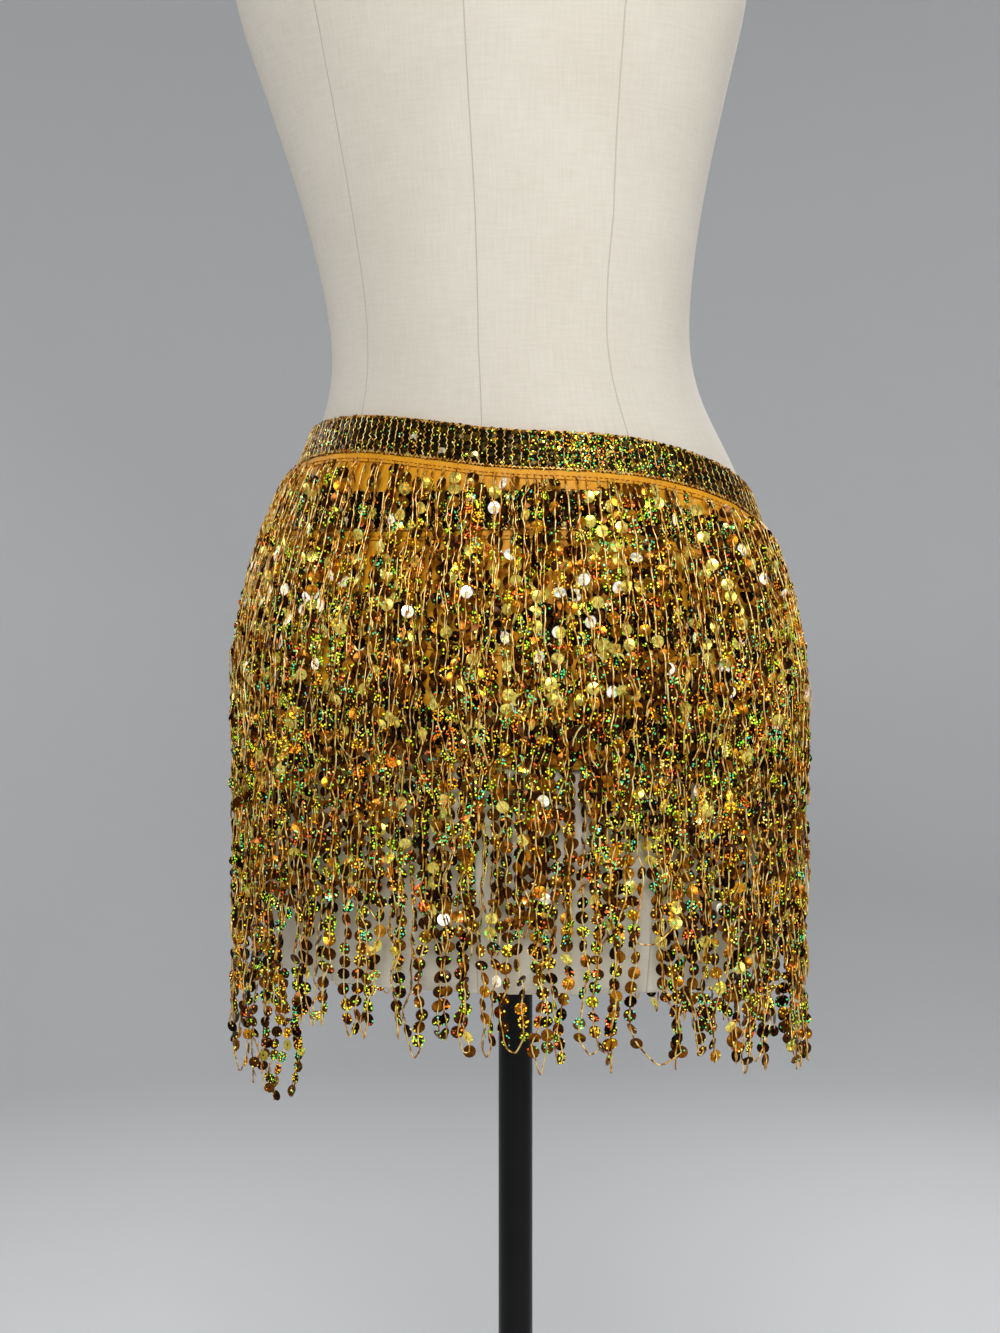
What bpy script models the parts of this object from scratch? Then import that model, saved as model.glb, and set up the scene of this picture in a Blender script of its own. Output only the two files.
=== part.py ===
# Sequin-fringe hip belt worn on a dress form with a stand.
# Metres, +Z up, origin on the floor under the middle of the stand.
# -Y is the back of the form and of the belt, and +X is the right-hand side as seen from there.

import math

import bmesh
import bpy
from mathutils import Vector

# Levels and sizes that the rest is worked out from
HIP_LEVEL = 0.833  # the height that the wrap's edges are given from
POLE_RADIUS = 0.011
BASE_RADIUS = 0.185
BASE_THICKNESS = 0.012
BASE_ROUND = 0.004
SOCKET_HEIGHT = 0.030
SOCKET_RADIUS = 0.024
CAP_RADIUS = 0.053
KNOB_RADIUS = 0.011
TOUCH_GAP = 0.0004

# In degrees, the wrap starts at its loose end, passes the back at 0 and the right side at 90,
# and stops just short of where it began
WRAP_START = -118.0
WRAP_END = 238.0
WRAP_COLUMNS = 36

CLOTH_GAP = 0.0012
CLOTH_THICKNESS = 0.0012
LAYER_GAP = 0.0005
BAND_HEIGHT = 0.024
BAND_THICKNESS = 0.0018
STRIP_HEIGHT = 0.005
STRIP_THICKNESS = 0.0014
BAND_OFFSET = CLOTH_GAP + CLOTH_THICKNESS + LAYER_GAP
BAND_FACE = BAND_OFFSET + BAND_THICKNESS

# Fringe: each row hangs from its own strip and lies over the rows below it
STRANDS_PER_ROW = 48
STRAND_WIDTH = 0.009
STRAND_THICKNESS = 0.0012
STRAND_LENGTH = 0.168
UNEVEN = 0.003
SWAY = 0.0012
STEP_DOWN = 0.004  # the height in which a strand steps out over the next band
STEP_OUT = BAND_FACE + 0.0010
LEAN_OUT = 0.0450  # metres outward for each metre down, as the rows below lift it
LEVEL_STEP = 0.033
END_EXTRA = 0.022  # the loose end's strands hang this much longer
END_REACH = 30.0  # degrees from the loose end over which that fades

# Ties: each is sewn on the top band a little back from its end, and runs to the knot over the opening
TIE_WIDTH = 0.012
TIE_THICKNESS = 0.0012
TIE_SEWN = 14.0  # degrees back from the knot
TIE_STOP = 4.4
KNOT_ANGLE = -120.0
KNOT_HEIGHT = 0.101  # from HIP_LEVEL
KNOT_SIZE = (0.030, 0.014, 0.024)
KNOT_OFFSET = 0.0118
TAIL_SHIFT = 0.0068
TAIL_OFFSET = (0.0100, 0.0150)

# height above the floor, half width, depth of the back half, depth of the front half
FORM_SECTIONS = (
    (0.640, 0.1560, 0.1120, 0.1140),
    (0.683, 0.1630, 0.1185, 0.1180),
    (0.733, 0.1690, 0.1225, 0.1190),
    (0.783, 0.1725, 0.1235, 0.1175),
    (0.833, 0.1720, 0.1220, 0.1150),
    (0.863, 0.1690, 0.1185, 0.1125),
    (0.893, 0.1630, 0.1135, 0.1095),
    (0.921, 0.1555, 0.1090, 0.1065),
    (0.942, 0.1485, 0.1055, 0.1040),
    (0.961, 0.1405, 0.1020, 0.1015),
    (0.978, 0.1325, 0.0985, 0.0990),
    (0.989, 0.1275, 0.0965, 0.0975),
    (1.005, 0.1215, 0.0940, 0.0955),
    (1.023, 0.1178, 0.0917, 0.0937),
    (1.040, 0.1167, 0.0905, 0.0930),
    (1.072, 0.1193, 0.0905, 0.0945),
    (1.116, 0.1276, 0.0930, 0.1010),
    (1.153, 0.1368, 0.0975, 0.1115),
    (1.187, 0.1464, 0.1025, 0.1215),
    (1.223, 0.1570, 0.1070, 0.1265),
    (1.265, 0.1700, 0.1100, 0.1215),
    (1.305, 0.1765, 0.1100, 0.1110),
    (1.345, 0.1775, 0.1060, 0.1000),
    (1.375, 0.1700, 0.0980, 0.0890),
    (1.395, 0.1520, 0.0880, 0.0790),
    (1.410, 0.1250, 0.0770, 0.0700),
    (1.424, 0.0920, 0.0660, 0.0620),
    (1.438, 0.0680, 0.0580, 0.0570),
    (1.460, 0.0580, 0.0530, 0.0540),
    (1.515, 0.0550, 0.0510, 0.0520),
)
# Above the underarm the sides are flat, where the arms are left off
ARM_PLATE_TOP = 1.375
ARM_PLATE_BOTTOM = 1.265
ARM_PLATE_X = 0.1690
# Between these levels the form leans to its left, and above them it is upright again
LEAN_FROM = 0.970
LEAN_TO = 1.300
LEAN_LEFT = 0.060

# angle in degrees, the top edge's height from HIP_LEVEL, then how far below it the lower edges
# of bands 2, 3 and 4 are
WRAP_STATIONS = (
    (-118.0, 0.1000, 0.0660, 0.1340, 0.1980),
    (-98.0, 0.1320, 0.0670, 0.1320, 0.1910),
    (-76.0, 0.1490, 0.0680, 0.1310, 0.1860),
    (-55.0, 0.1535, 0.0695, 0.1330, 0.1900),
    (-34.0, 0.1530, 0.0720, 0.1340, 0.1930),
    (-12.0, 0.1460, 0.0670, 0.1300, 0.1910),
    (5.0, 0.1400, 0.0610, 0.1285, 0.1930),
    (21.0, 0.1380, 0.0595, 0.1270, 0.1925),
    (40.0, 0.1350, 0.0595, 0.1260, 0.1910),
    (63.0, 0.1250, 0.0650, 0.1280, 0.1870),
    (96.0, 0.1070, 0.0660, 0.1280, 0.1850),
    (130.0, 0.1120, 0.0660, 0.1280, 0.1860),
    (160.0, 0.1260, 0.0660, 0.1280, 0.1900),
    (190.0, 0.1360, 0.0660, 0.1280, 0.1910),
    (220.0, 0.1340, 0.0660, 0.1280, 0.1880),
    (238.0, 0.1280, 0.0660, 0.1280, 0.1860),
)


def smooth_row(table, key):
    """The row of a table at a key in its first column, on a smooth curve through the table's rows."""
    if key <= table[0][0]:
        return table[0]
    if key >= table[-1][0]:
        return table[-1]
    after = next(i for i, row in enumerate(table) if row[0] > key)
    before = after - 1
    first, last = max(before - 1, 0), min(after + 1, len(table) - 1)
    span = table[after][0] - table[before][0]
    s = (key - table[before][0]) / span
    found = [key]
    for column in range(1, len(table[0])):
        low, high = table[before][column], table[after][column]
        slope_low = (high - table[first][column]) / (table[after][0] - table[first][0])
        slope_high = (table[last][column] - low) / (table[last][0] - table[before][0])
        bend_in = s * (1 - s) ** 2 * span * slope_low
        bend_out = s * s * (s - 1) * span * slope_high
        ease = s * s * (3 - 2 * s)
        found.append(low + (high - low) * ease + bend_in + bend_out)
    return tuple(found)


def form_point(angle, height):
    """A point of the dress form's surface. Angle 0 is the back, and 90 the right side."""
    _, half_width, back, front = smooth_row(FORM_SECTIONS, height)
    turn = math.radians(angle)
    depth = back if math.cos(turn) > 0 else front
    across = half_width * math.sin(turn)
    if ARM_PLATE_BOTTOM < height < ARM_PLATE_TOP:
        across = max(-ARM_PLATE_X, min(ARM_PLATE_X, across))
    return Vector((across - lean_at(height), -depth * math.cos(turn), height))


def lean_at(height):
    return LEAN_LEFT * max(0.0, min(height, LEAN_TO) - LEAN_FROM)


def surface_point(angle, height, offset):
    """A point at a distance from the form's surface, measured straight out of it."""
    tiny_angle, tiny_height = 0.5, 0.001
    along = form_point(angle + tiny_angle, height) - form_point(angle - tiny_angle, height)
    up = form_point(angle, height + tiny_height) - form_point(angle, height - tiny_height)
    return form_point(angle, height) + along.cross(up).normalized() * offset


def widest_level():
    """The height of the form's fullest section, below which the fringe hangs straight down."""
    return max(FORM_SECTIONS[:8], key=lambda row: row[1])[0]


def hanging_point(angle, height, offset):
    """As surface_point, but straight down below the hips."""
    lifted = max(height, widest_level())
    point = surface_point(angle, lifted, offset)
    return Vector((point.x, point.y, height))


def edge_height(angle, drop_column, below=0.0):
    """The height of one of the wrap's lines. Column 0 is the top edge, and 2 to 4 a band's lower edge.
    It runs straight from one of the wrap's columns to the next, so that all pieces keep their gaps."""
    step = (WRAP_END - WRAP_START) / WRAP_COLUMNS
    column = max(0, min(int((angle - WRAP_START) / step), WRAP_COLUMNS - 1))
    near = WRAP_START + step * column
    share = (angle - near) / step
    heights = []
    for place in (near, near + step):
        row = smooth_row(WRAP_STATIONS, place)
        heights.append(HIP_LEVEL + row[1] - (row[drop_column] if drop_column else 0.0) - below)
    return heights[0] + (heights[1] - heights[0]) * share


def band_low(angle, band):
    """The height of the lower edge of band 1, 2, 3 or 4."""
    if band == 1:
        return edge_height(angle, 0, BAND_HEIGHT)
    return edge_height(angle, band)


def wrap_angles():
    step = (WRAP_END - WRAP_START) / WRAP_COLUMNS
    return [WRAP_START + step * i for i in range(WRAP_COLUMNS + 1)]


def make_material(name, colour, roughness, metallic=0.0):
    material = bpy.data.materials.new(name)
    material.use_nodes = True
    shader = material.node_tree.nodes["Principled BSDF"]
    shader.inputs["Base Color"].default_value = (*colour, 1.0)
    shader.inputs["Roughness"].default_value = roughness
    shader.inputs["Metallic"].default_value = metallic
    return material


def add_object(name, mesh, material, parent):
    found = bpy.data.objects.new(name, mesh)
    mesh.materials.append(material)
    collection.objects.link(found)
    found.parent = parent
    return found


def finish_mesh(name, bm, smooth=True):
    """Turns the faces outward and gives the mesh."""
    bm.normal_update()
    bmesh.ops.recalc_face_normals(bm, faces=bm.faces)
    mesh = bpy.data.meshes.new(name)
    bm.to_mesh(mesh)
    bm.free()
    if smooth:
        mesh.shade_smooth()
        mesh.set_sharp_from_angle(angle=math.radians(40))
    return mesh


def cloth_wall(name, angles, heights_at, offset, thickness, material, parent):
    """A wall of cloth: a grid laid on the form's surface, given its thickness outward by Solidify."""
    rows = len(heights_at(angles[0]))
    bm = bmesh.new()
    bmesh.ops.create_grid(bm, x_segments=len(angles) - 1, y_segments=rows - 1, size=1.0)
    # create_grid numbers its points along x first, from -1 to 1
    columns_x = len(angles) - 1
    for vertex in bm.verts:
        column = round((vertex.co.x + 1) / 2 * columns_x)
        row = round((vertex.co.y + 1) / 2 * (rows - 1))
        angle = angles[column]
        height = heights_at(angle)[rows - 1 - row]
        vertex.co = surface_point(angle, height, offset)
    bm.normal_update()
    middle = bm.faces[:][len(bm.faces) // 2]
    outward = Vector((middle.calc_center_median().x, middle.calc_center_median().y, 0.0))
    if middle.normal.dot(outward) < 0:
        bmesh.ops.reverse_faces(bm, faces=bm.faces)
    mesh = bpy.data.meshes.new(name)
    bm.to_mesh(mesh)
    bm.free()
    mesh.shade_smooth()
    mesh.set_sharp_from_angle(angle=math.radians(40))
    wall = add_object(name, mesh, material, parent)
    solid = wall.modifiers.new("Thickness", "SOLIDIFY")
    solid.thickness = thickness
    solid.offset = 1.0
    solid.use_even_offset = False
    return wall


def panel_heights(angle):
    """The panel's rows from its top edge to its hem, one at each edge of a band."""
    heights = []
    for band in (1, 2, 3, 4):
        low = band_low(angle, band)
        heights += [low + BAND_HEIGHT, low]
    heights.append(heights[-1] - STRIP_HEIGHT - TOUCH_GAP)
    return heights


def add_panel(material, parent):
    return cloth_wall("panel", wrap_angles(), panel_heights, CLOTH_GAP, CLOTH_THICKNESS, material, parent)


def add_bands(material, parent):
    for band in (1, 2, 3, 4):

        def heights(angle, band=band):
            low = band_low(angle, band)
            return [low + BAND_HEIGHT, low]

        cloth_wall(
            f"sequin_band_{band}", wrap_angles(), heights, BAND_OFFSET, BAND_THICKNESS, material, parent
        )


def strand_offset(below_root):
    """How far a strand's middle stands off the form, by how far it has come down from its strip."""
    root = BAND_OFFSET + STRIP_THICKNESS / 2
    stepped = STEP_OUT + STRAND_THICKNESS / 2
    if below_root <= STEP_DOWN:
        return root + (stepped - root) * below_root / STEP_DOWN
    return stepped + LEAN_OUT * (below_root - STEP_DOWN)


def strand_length(angle, index):
    """A strand's length: uneven by a few millimetres, and longer at the wrap's loose end."""
    uneven = UNEVEN * math.sin(index * 2.4)
    loose = max(0.0, 1.0 - (angle - WRAP_START) / END_REACH)
    return STRAND_LENGTH + uneven + END_EXTRA * loose


def strand_levels(row, angle, length):
    """How far below its strip each ring of a strand is. On the hips the rings are at levels that all
    the rows share, so that the rows stay parallel, and below them a strand hangs nearly straight."""
    root = band_low(angle, row) - TOUCH_GAP - STRIP_HEIGHT
    straight = root - widest_level()
    levels = [STEP_DOWN]
    level = (edge_height(angle, 0) - root) % LEVEL_STEP
    level = LEVEL_STEP - level
    while level < min(straight, length - LEVEL_STEP / 2):
        if level > STEP_DOWN + LEVEL_STEP / 3:
            levels.append(level)
        level += LEVEL_STEP
    if length - levels[-1] > 2 * LEVEL_STEP:
        levels.append((levels[-1] + length) / 2)
    return levels + [length]


def degrees_of(width, angle, height):
    """The angle that spans a width along the form's surface."""
    step = form_point(angle + 0.5, height) - form_point(angle - 0.5, height)
    return width / step.length


def strand_middles(row):
    """The angles of a row's strands, each row a quarter of their spacing on from the one above."""
    margin = degrees_of(STRAND_WIDTH, WRAP_START, widest_level())
    spacing = (WRAP_END - WRAP_START - 2 * margin) / (STRANDS_PER_ROW - 0.25)
    return [WRAP_START + margin + spacing * (index + (row - 1) / 4) for index in range(STRANDS_PER_ROW)]


def strip_section(bm, row, angle):
    """The corners of a fringe's strip at an angle: inner and outer at the top, outer and inner below."""
    top = band_low(angle, row) - TOUCH_GAP
    inner, outer = BAND_OFFSET, BAND_OFFSET + STRIP_THICKNESS
    corners = ((top, inner), (top, outer), (top - STRIP_HEIGHT, outer), (top - STRIP_HEIGHT, inner))
    return [bm.verts.new(surface_point(angle, *corner)) for corner in corners]


def draw_strand(bm, face, row, index, middle):
    """Draws one piece of a strip's lower side down, ring by ring, as a strand."""
    length = strand_length(middle, index + STRANDS_PER_ROW * row)
    root = band_low(middle, row) - TOUCH_GAP - STRIP_HEIGHT
    for below in strand_levels(row, middle, length):
        face = bmesh.ops.extrude_discrete_faces(bm, faces=[face])["faces"][0]
        height = root - below
        level = max(height, widest_level())
        turn = middle + degrees_of(SWAY * math.sin(1.7 * index + 9.0 * below / length), middle, level)
        half = degrees_of(STRAND_WIDTH, middle, level) / 2
        inner = strand_offset(below) - STRAND_THICKNESS / 2
        outer = inner + STRAND_THICKNESS
        # The face keeps the order of the strip's lower side: outer near, inner near, inner far, outer far
        spots = ((turn - half, outer), (turn - half, inner), (turn + half, inner), (turn + half, outer))
        for loop, (angle, offset) in zip(face.loops, spots):
            loop.vert.co = hanging_point(angle, height, offset)


def add_fringe(row, material, parent):
    """One row of fringe: a narrow strip round the wrap, with strands drawn down from its lower side."""
    angles, middles = [WRAP_START], strand_middles(row)
    for middle in middles:
        half = degrees_of(STRAND_WIDTH, middle, band_low(middle, row)) / 2
        angles += [middle - half, middle + half]
    angles.append(WRAP_END)

    bm = bmesh.new()
    sections = [strip_section(bm, row, angle) for angle in angles]
    bm.faces.new(sections[0])
    bm.faces.new(list(reversed(sections[-1])))
    lower = []
    for near, far in zip(sections, sections[1:]):
        sides = [bm.faces.new((near[i], near[(i + 1) % 4], far[(i + 1) % 4], far[i])) for i in range(4)]
        lower.append(sides[2])
    for index, middle in enumerate(middles):
        draw_strand(bm, lower[2 * index + 1], row, index, middle)
    return add_object(f"fringe_{row}", finish_mesh(f"fringe_{row}", bm, smooth=False), material, parent)


def add_form(material, parent):
    """The dress form's torso, from its flat underside to the top of the neck, a ring at each section."""
    angles = wrap_angles()
    bm = bmesh.new()
    rings = [[bm.verts.new(form_point(angle, row[0])) for angle in angles] for row in FORM_SECTIONS]
    for low, high in zip(rings, rings[1:]):
        for i in range(len(angles)):
            after = (i + 1) % len(angles)
            bm.faces.new((low[i], low[after], high[after], high[i]))
    bm.faces.new(list(reversed(rings[0])))
    bm.faces.new(rings[-1])
    return add_object("form_torso", finish_mesh("form_torso", bm), material, parent)


def add_turned(name, profile, material, parent, steps=32):
    """A turned piece from its profile of (radius, height), run from the top down its outer side."""
    mesh = bpy.data.meshes.new(name)
    points = [(radius, 0.0, height) for radius, height in profile]
    mesh.from_pydata(points, [(i, i + 1) for i in range(len(points) - 1)], [])
    piece = add_object(name, mesh, material, parent)
    screw = piece.modifiers.new("Turn", "SCREW")
    screw.steps = steps
    screw.render_steps = steps
    screw.use_merge_vertices = True
    screw.merge_threshold = 0.0001
    screw.use_smooth_shade = True
    return piece


def add_stand(steel, parent):
    """The round base with its socket, and the pole that stands in it."""
    top, socket_top = BASE_THICKNESS, BASE_THICKNESS + SOCKET_HEIGHT
    edge = BASE_ROUND
    base = (
        (0.0, socket_top),
        (SOCKET_RADIUS - edge, socket_top),
        (SOCKET_RADIUS, socket_top - edge),
        (SOCKET_RADIUS, top + 2 * edge),
        (SOCKET_RADIUS + 3 * edge, top),
        (BASE_RADIUS - edge, top - edge / 2),
        (BASE_RADIUS, top - 1.5 * edge),
        (BASE_RADIUS, 0.0),
        (0.0, 0.0),
    )
    add_turned("stand_base", base, steel, parent, steps=32)
    low, high = socket_top + TOUCH_GAP, FORM_SECTIONS[0][0] - TOUCH_GAP
    pole = ((0.0, high), (POLE_RADIUS, high), (POLE_RADIUS, low), (0.0, low))
    add_turned("stand_pole", pole, steel, parent, steps=16)


def add_neck_cap(material, parent):
    """The turned cap on the neck, with its knob."""
    low = FORM_SECTIONS[-1][0] + TOUCH_GAP
    profile = (
        (0.0, low + 0.030),
        (0.7 * KNOB_RADIUS, low + 0.029),
        (KNOB_RADIUS, low + 0.023),
        (0.8 * KNOB_RADIUS, low + 0.017),
        (0.55 * CAP_RADIUS, low + 0.013),
        (0.95 * CAP_RADIUS, low + 0.007),
        (CAP_RADIUS, low + 0.003),
        (CAP_RADIUS, low),
        (0.0, low),
    )
    cap = add_turned("neck_cap", profile, material, parent, steps=24)
    cap.location.x = -lean_at(low)


def add_ribbon(name, path, wide, thickness, material, parent):
    """A flat ribbon through points that each have a width direction and an outward direction."""
    bm = bmesh.new()
    rings = []
    for point, across, out in path:
        half, lift = across * (wide / 2), out * thickness
        spots = (point - half, point + half, point + half + lift, point - half + lift)
        rings.append([bm.verts.new(spot) for spot in spots])
    for near, far in zip(rings, rings[1:]):
        for side in range(4):
            after = (side + 1) % 4
            bm.faces.new((near[side], near[after], far[after], far[side]))
    bm.faces.new(rings[0])
    bm.faces.new(list(reversed(rings[-1])))
    return add_object(name, finish_mesh(name, bm, smooth=False), material, parent)


def frame_at(angle, height):
    """The form's directions at a place: round it, upward and outward."""
    along = (form_point(angle + 0.5, height) - form_point(angle - 0.5, height)).normalized()
    up = (form_point(angle, height + 0.001) - form_point(angle, height - 0.001)).normalized()
    return along, up, along.cross(up).normalized()


def add_tie(name, side, material, parent):
    """A tie on one end of the top band, from where it is sewn to the knot. Side is 1 after the knot."""
    path = []
    for i in range(5):
        share = i / 4
        away = TIE_SEWN + (TIE_STOP - TIE_SEWN) * share
        angle = KNOT_ANGLE + away if side > 0 else KNOT_ANGLE + 360 - away
        band_middle = edge_height(angle, 0, BAND_HEIGHT / 2)
        height = band_middle + (HIP_LEVEL + KNOT_HEIGHT - band_middle) * share
        _, up, out = frame_at(angle, height)
        path.append((surface_point(angle, height, BAND_FACE + LAYER_GAP), up, out))
    add_ribbon(name, path, TIE_WIDTH, TIE_THICKNESS, material, parent)


def add_ties(material, parent):
    """The two ties, the knot between them and the knot's two tails."""
    add_tie("tie_start", 1, material, parent)
    add_tie("tie_end", -1, material, parent)

    height = HIP_LEVEL + KNOT_HEIGHT
    along, _, out = frame_at(KNOT_ANGLE, height)
    level_out = Vector((out.x, out.y, 0.0)).normalized()
    centre = surface_point(KNOT_ANGLE, height, KNOT_OFFSET)
    bm = bmesh.new()
    bmesh.ops.create_uvsphere(bm, u_segments=12, v_segments=7, radius=0.5)
    for vertex in bm.verts:
        x, y, z = (vertex.co[i] * KNOT_SIZE[i] for i in range(3))
        vertex.co = centre + along * x + level_out * y + Vector((0.0, 0.0, z))
    add_object("tie_knot", finish_mesh("tie_knot", bm), material, parent)

    # The tails hang from the knot's underside over the fringe
    for name, side, length in (("tie_tail_1", 1, 0.105), ("tie_tail_2", -1, 0.125)):
        shift = side * TAIL_SHIFT
        start = centre + along * shift - Vector((0.0, 0.0, KNOT_SIZE[2] / 2 + TOUCH_GAP))
        path = [(start, along, level_out)]
        for i in range(1, 6):
            share = i / 5
            place = start.z - length * share
            spread = degrees_of(shift * (1 + share), KNOT_ANGLE, widest_level())
            away = TAIL_OFFSET[0] + (TAIL_OFFSET[1] - TAIL_OFFSET[0]) * share
            across, _, outward = frame_at(KNOT_ANGLE + spread, max(place, widest_level()))
            path.append((hanging_point(KNOT_ANGLE + spread, place, away), across, outward))
        add_ribbon(name, path, TIE_WIDTH, TIE_THICKNESS, material, parent)


for old in list(bpy.data.objects):
    bpy.data.objects.remove(old)
collection = bpy.data.collections.new("hip_belt_on_dress_form")
bpy.context.scene.collection.children.link(collection)
whole = bpy.data.objects.new("hip_belt_on_dress_form", None)
collection.objects.link(whole)

gold_cloth = make_material("gold_cloth", (0.74, 0.36, 0.06), 0.45)
sequins = make_material("gold_sequins", (0.42, 0.25, 0.05), 0.25, 0.8)
canvas = make_material("canvas", (0.78, 0.74, 0.66), 0.9)
black_steel = make_material("black_steel", (0.01, 0.01, 0.012), 0.35, 0.2)
black_wood = make_material("black_wood", (0.02, 0.02, 0.02), 0.4)

add_form(canvas, whole)
add_neck_cap(black_wood, whole)
add_stand(black_steel, whole)
add_panel(gold_cloth, whole)
add_bands(sequins, whole)
for fringe_row in (1, 2, 3, 4):
    add_fringe(fringe_row, sequins, whole)
add_ties(gold_cloth, whole)
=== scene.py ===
import math

import bpy
import numpy as np
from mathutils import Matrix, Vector
from mathutils.bvhtree import BVHTree


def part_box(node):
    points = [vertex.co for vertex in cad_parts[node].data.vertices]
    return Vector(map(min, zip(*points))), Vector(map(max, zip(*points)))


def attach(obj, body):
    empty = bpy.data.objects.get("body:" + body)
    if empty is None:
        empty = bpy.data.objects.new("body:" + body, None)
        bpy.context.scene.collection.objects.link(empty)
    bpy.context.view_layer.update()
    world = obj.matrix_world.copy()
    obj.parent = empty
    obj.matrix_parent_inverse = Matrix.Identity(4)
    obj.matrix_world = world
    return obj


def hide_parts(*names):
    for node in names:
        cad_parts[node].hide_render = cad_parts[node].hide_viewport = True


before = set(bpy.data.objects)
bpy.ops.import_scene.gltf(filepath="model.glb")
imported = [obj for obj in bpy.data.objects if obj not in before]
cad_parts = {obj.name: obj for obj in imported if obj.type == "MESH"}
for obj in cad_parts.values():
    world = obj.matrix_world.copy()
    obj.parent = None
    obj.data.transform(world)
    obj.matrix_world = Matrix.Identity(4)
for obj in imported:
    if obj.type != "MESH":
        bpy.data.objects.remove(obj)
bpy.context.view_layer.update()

# Lengths are in metres and angles in degrees.
# Round the belt, a turn is counted from its opening at the front left hip, and rises past the back.
mm = 0.001
seamUnit = 110 * mm  # the height that one step of the form's seam map stands for
dice = np.random.default_rng(27)


# selecting and finishing pieces

def deselectAll():
    if bpy.context.object and bpy.context.object.mode != "OBJECT":
        bpy.ops.object.mode_set(mode="OBJECT")
    bpy.ops.object.select_all(action="DESELECT")


def selectOnly(piece):
    deselectAll()
    piece.select_set(True)
    bpy.context.view_layer.objects.active = piece


def editAll(piece):
    selectOnly(piece)
    bpy.ops.object.mode_set(mode="EDIT")
    bpy.ops.mesh.select_mode(type="VERT")
    bpy.ops.mesh.select_all(action="SELECT")


def leaveEdit():
    bpy.ops.object.mode_set(mode="OBJECT")


def applyPlace(piece):
    selectOnly(piece)
    bpy.ops.object.transform_apply(location=True, rotation=True, scale=True)


def applyModifier(piece, kind, **settings):
    selectOnly(piece)
    added = piece.modifiers.new(kind.title(), kind)
    for name, value in settings.items():
        setattr(added, name, value)
    bpy.ops.object.modifier_apply(modifier=added.name)


def smooth(piece, angle=35):
    selectOnly(piece)
    bpy.ops.object.shade_smooth_by_angle(angle=math.radians(angle))


def pointsOf(mesh):
    found = np.empty(len(mesh.vertices) * 3)
    mesh.vertices.foreach_get("co", found)
    return found.reshape(-1, 3)


def movePoints(piece, points):
    piece.data.vertices.foreach_set("co", np.asarray(points).ravel())
    piece.data.update()


def finishPiece(piece, material, replaced=()):
    piece.data.materials.clear()
    piece.data.materials.append(material)
    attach(piece, "root")
    if replaced:
        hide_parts(*replaced)
    return piece


def copyOfNode(node, name):
    # a welded copy of a CAD node, in quads where its triangles pair up
    piece = bpy.data.objects.new(name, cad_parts[node].data.copy())
    bpy.context.scene.collection.objects.link(piece)
    editAll(piece)
    bpy.ops.mesh.remove_doubles(threshold=0.05 * mm)
    bpy.ops.mesh.tris_convert_to_quads()
    leaveEdit()
    return piece


# materials

def linearColour(hexCode):
    shares = [int(hexCode[i:i + 2], 16) / 255 for i in (1, 3, 5)]
    return [s / 12.92 if s <= 0.04045 else ((s + 0.055) / 1.055) ** 2.4 for s in shares] + [1.0]


def addNode(tree, kind, inputs=None, stops=None, **settings):
    node = tree.nodes.new("ShaderNode" + kind)
    for name, value in settings.items():
        setattr(node, name, value)
    for name, value in (inputs or {}).items():
        if isinstance(value, bpy.types.NodeSocket):
            tree.links.new(value, node.inputs[name])
        else:
            node.inputs[name].default_value = value
    for place, (position, colour) in enumerate(stops or ()):
        spots = node.color_ramp.elements
        spot = spots[place] if place < len(spots) else spots.new(position)
        spot.position = position
        spot.color = linearColour(colour)
    return node


def startMaterial(name):
    material = bpy.data.materials.new(name)
    material.use_nodes = True
    tree = material.node_tree
    shader = tree.nodes["Principled BSDF"]
    place = addNode(tree, "TexCoord").outputs["Object"]
    return material, tree, shader, place


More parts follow.
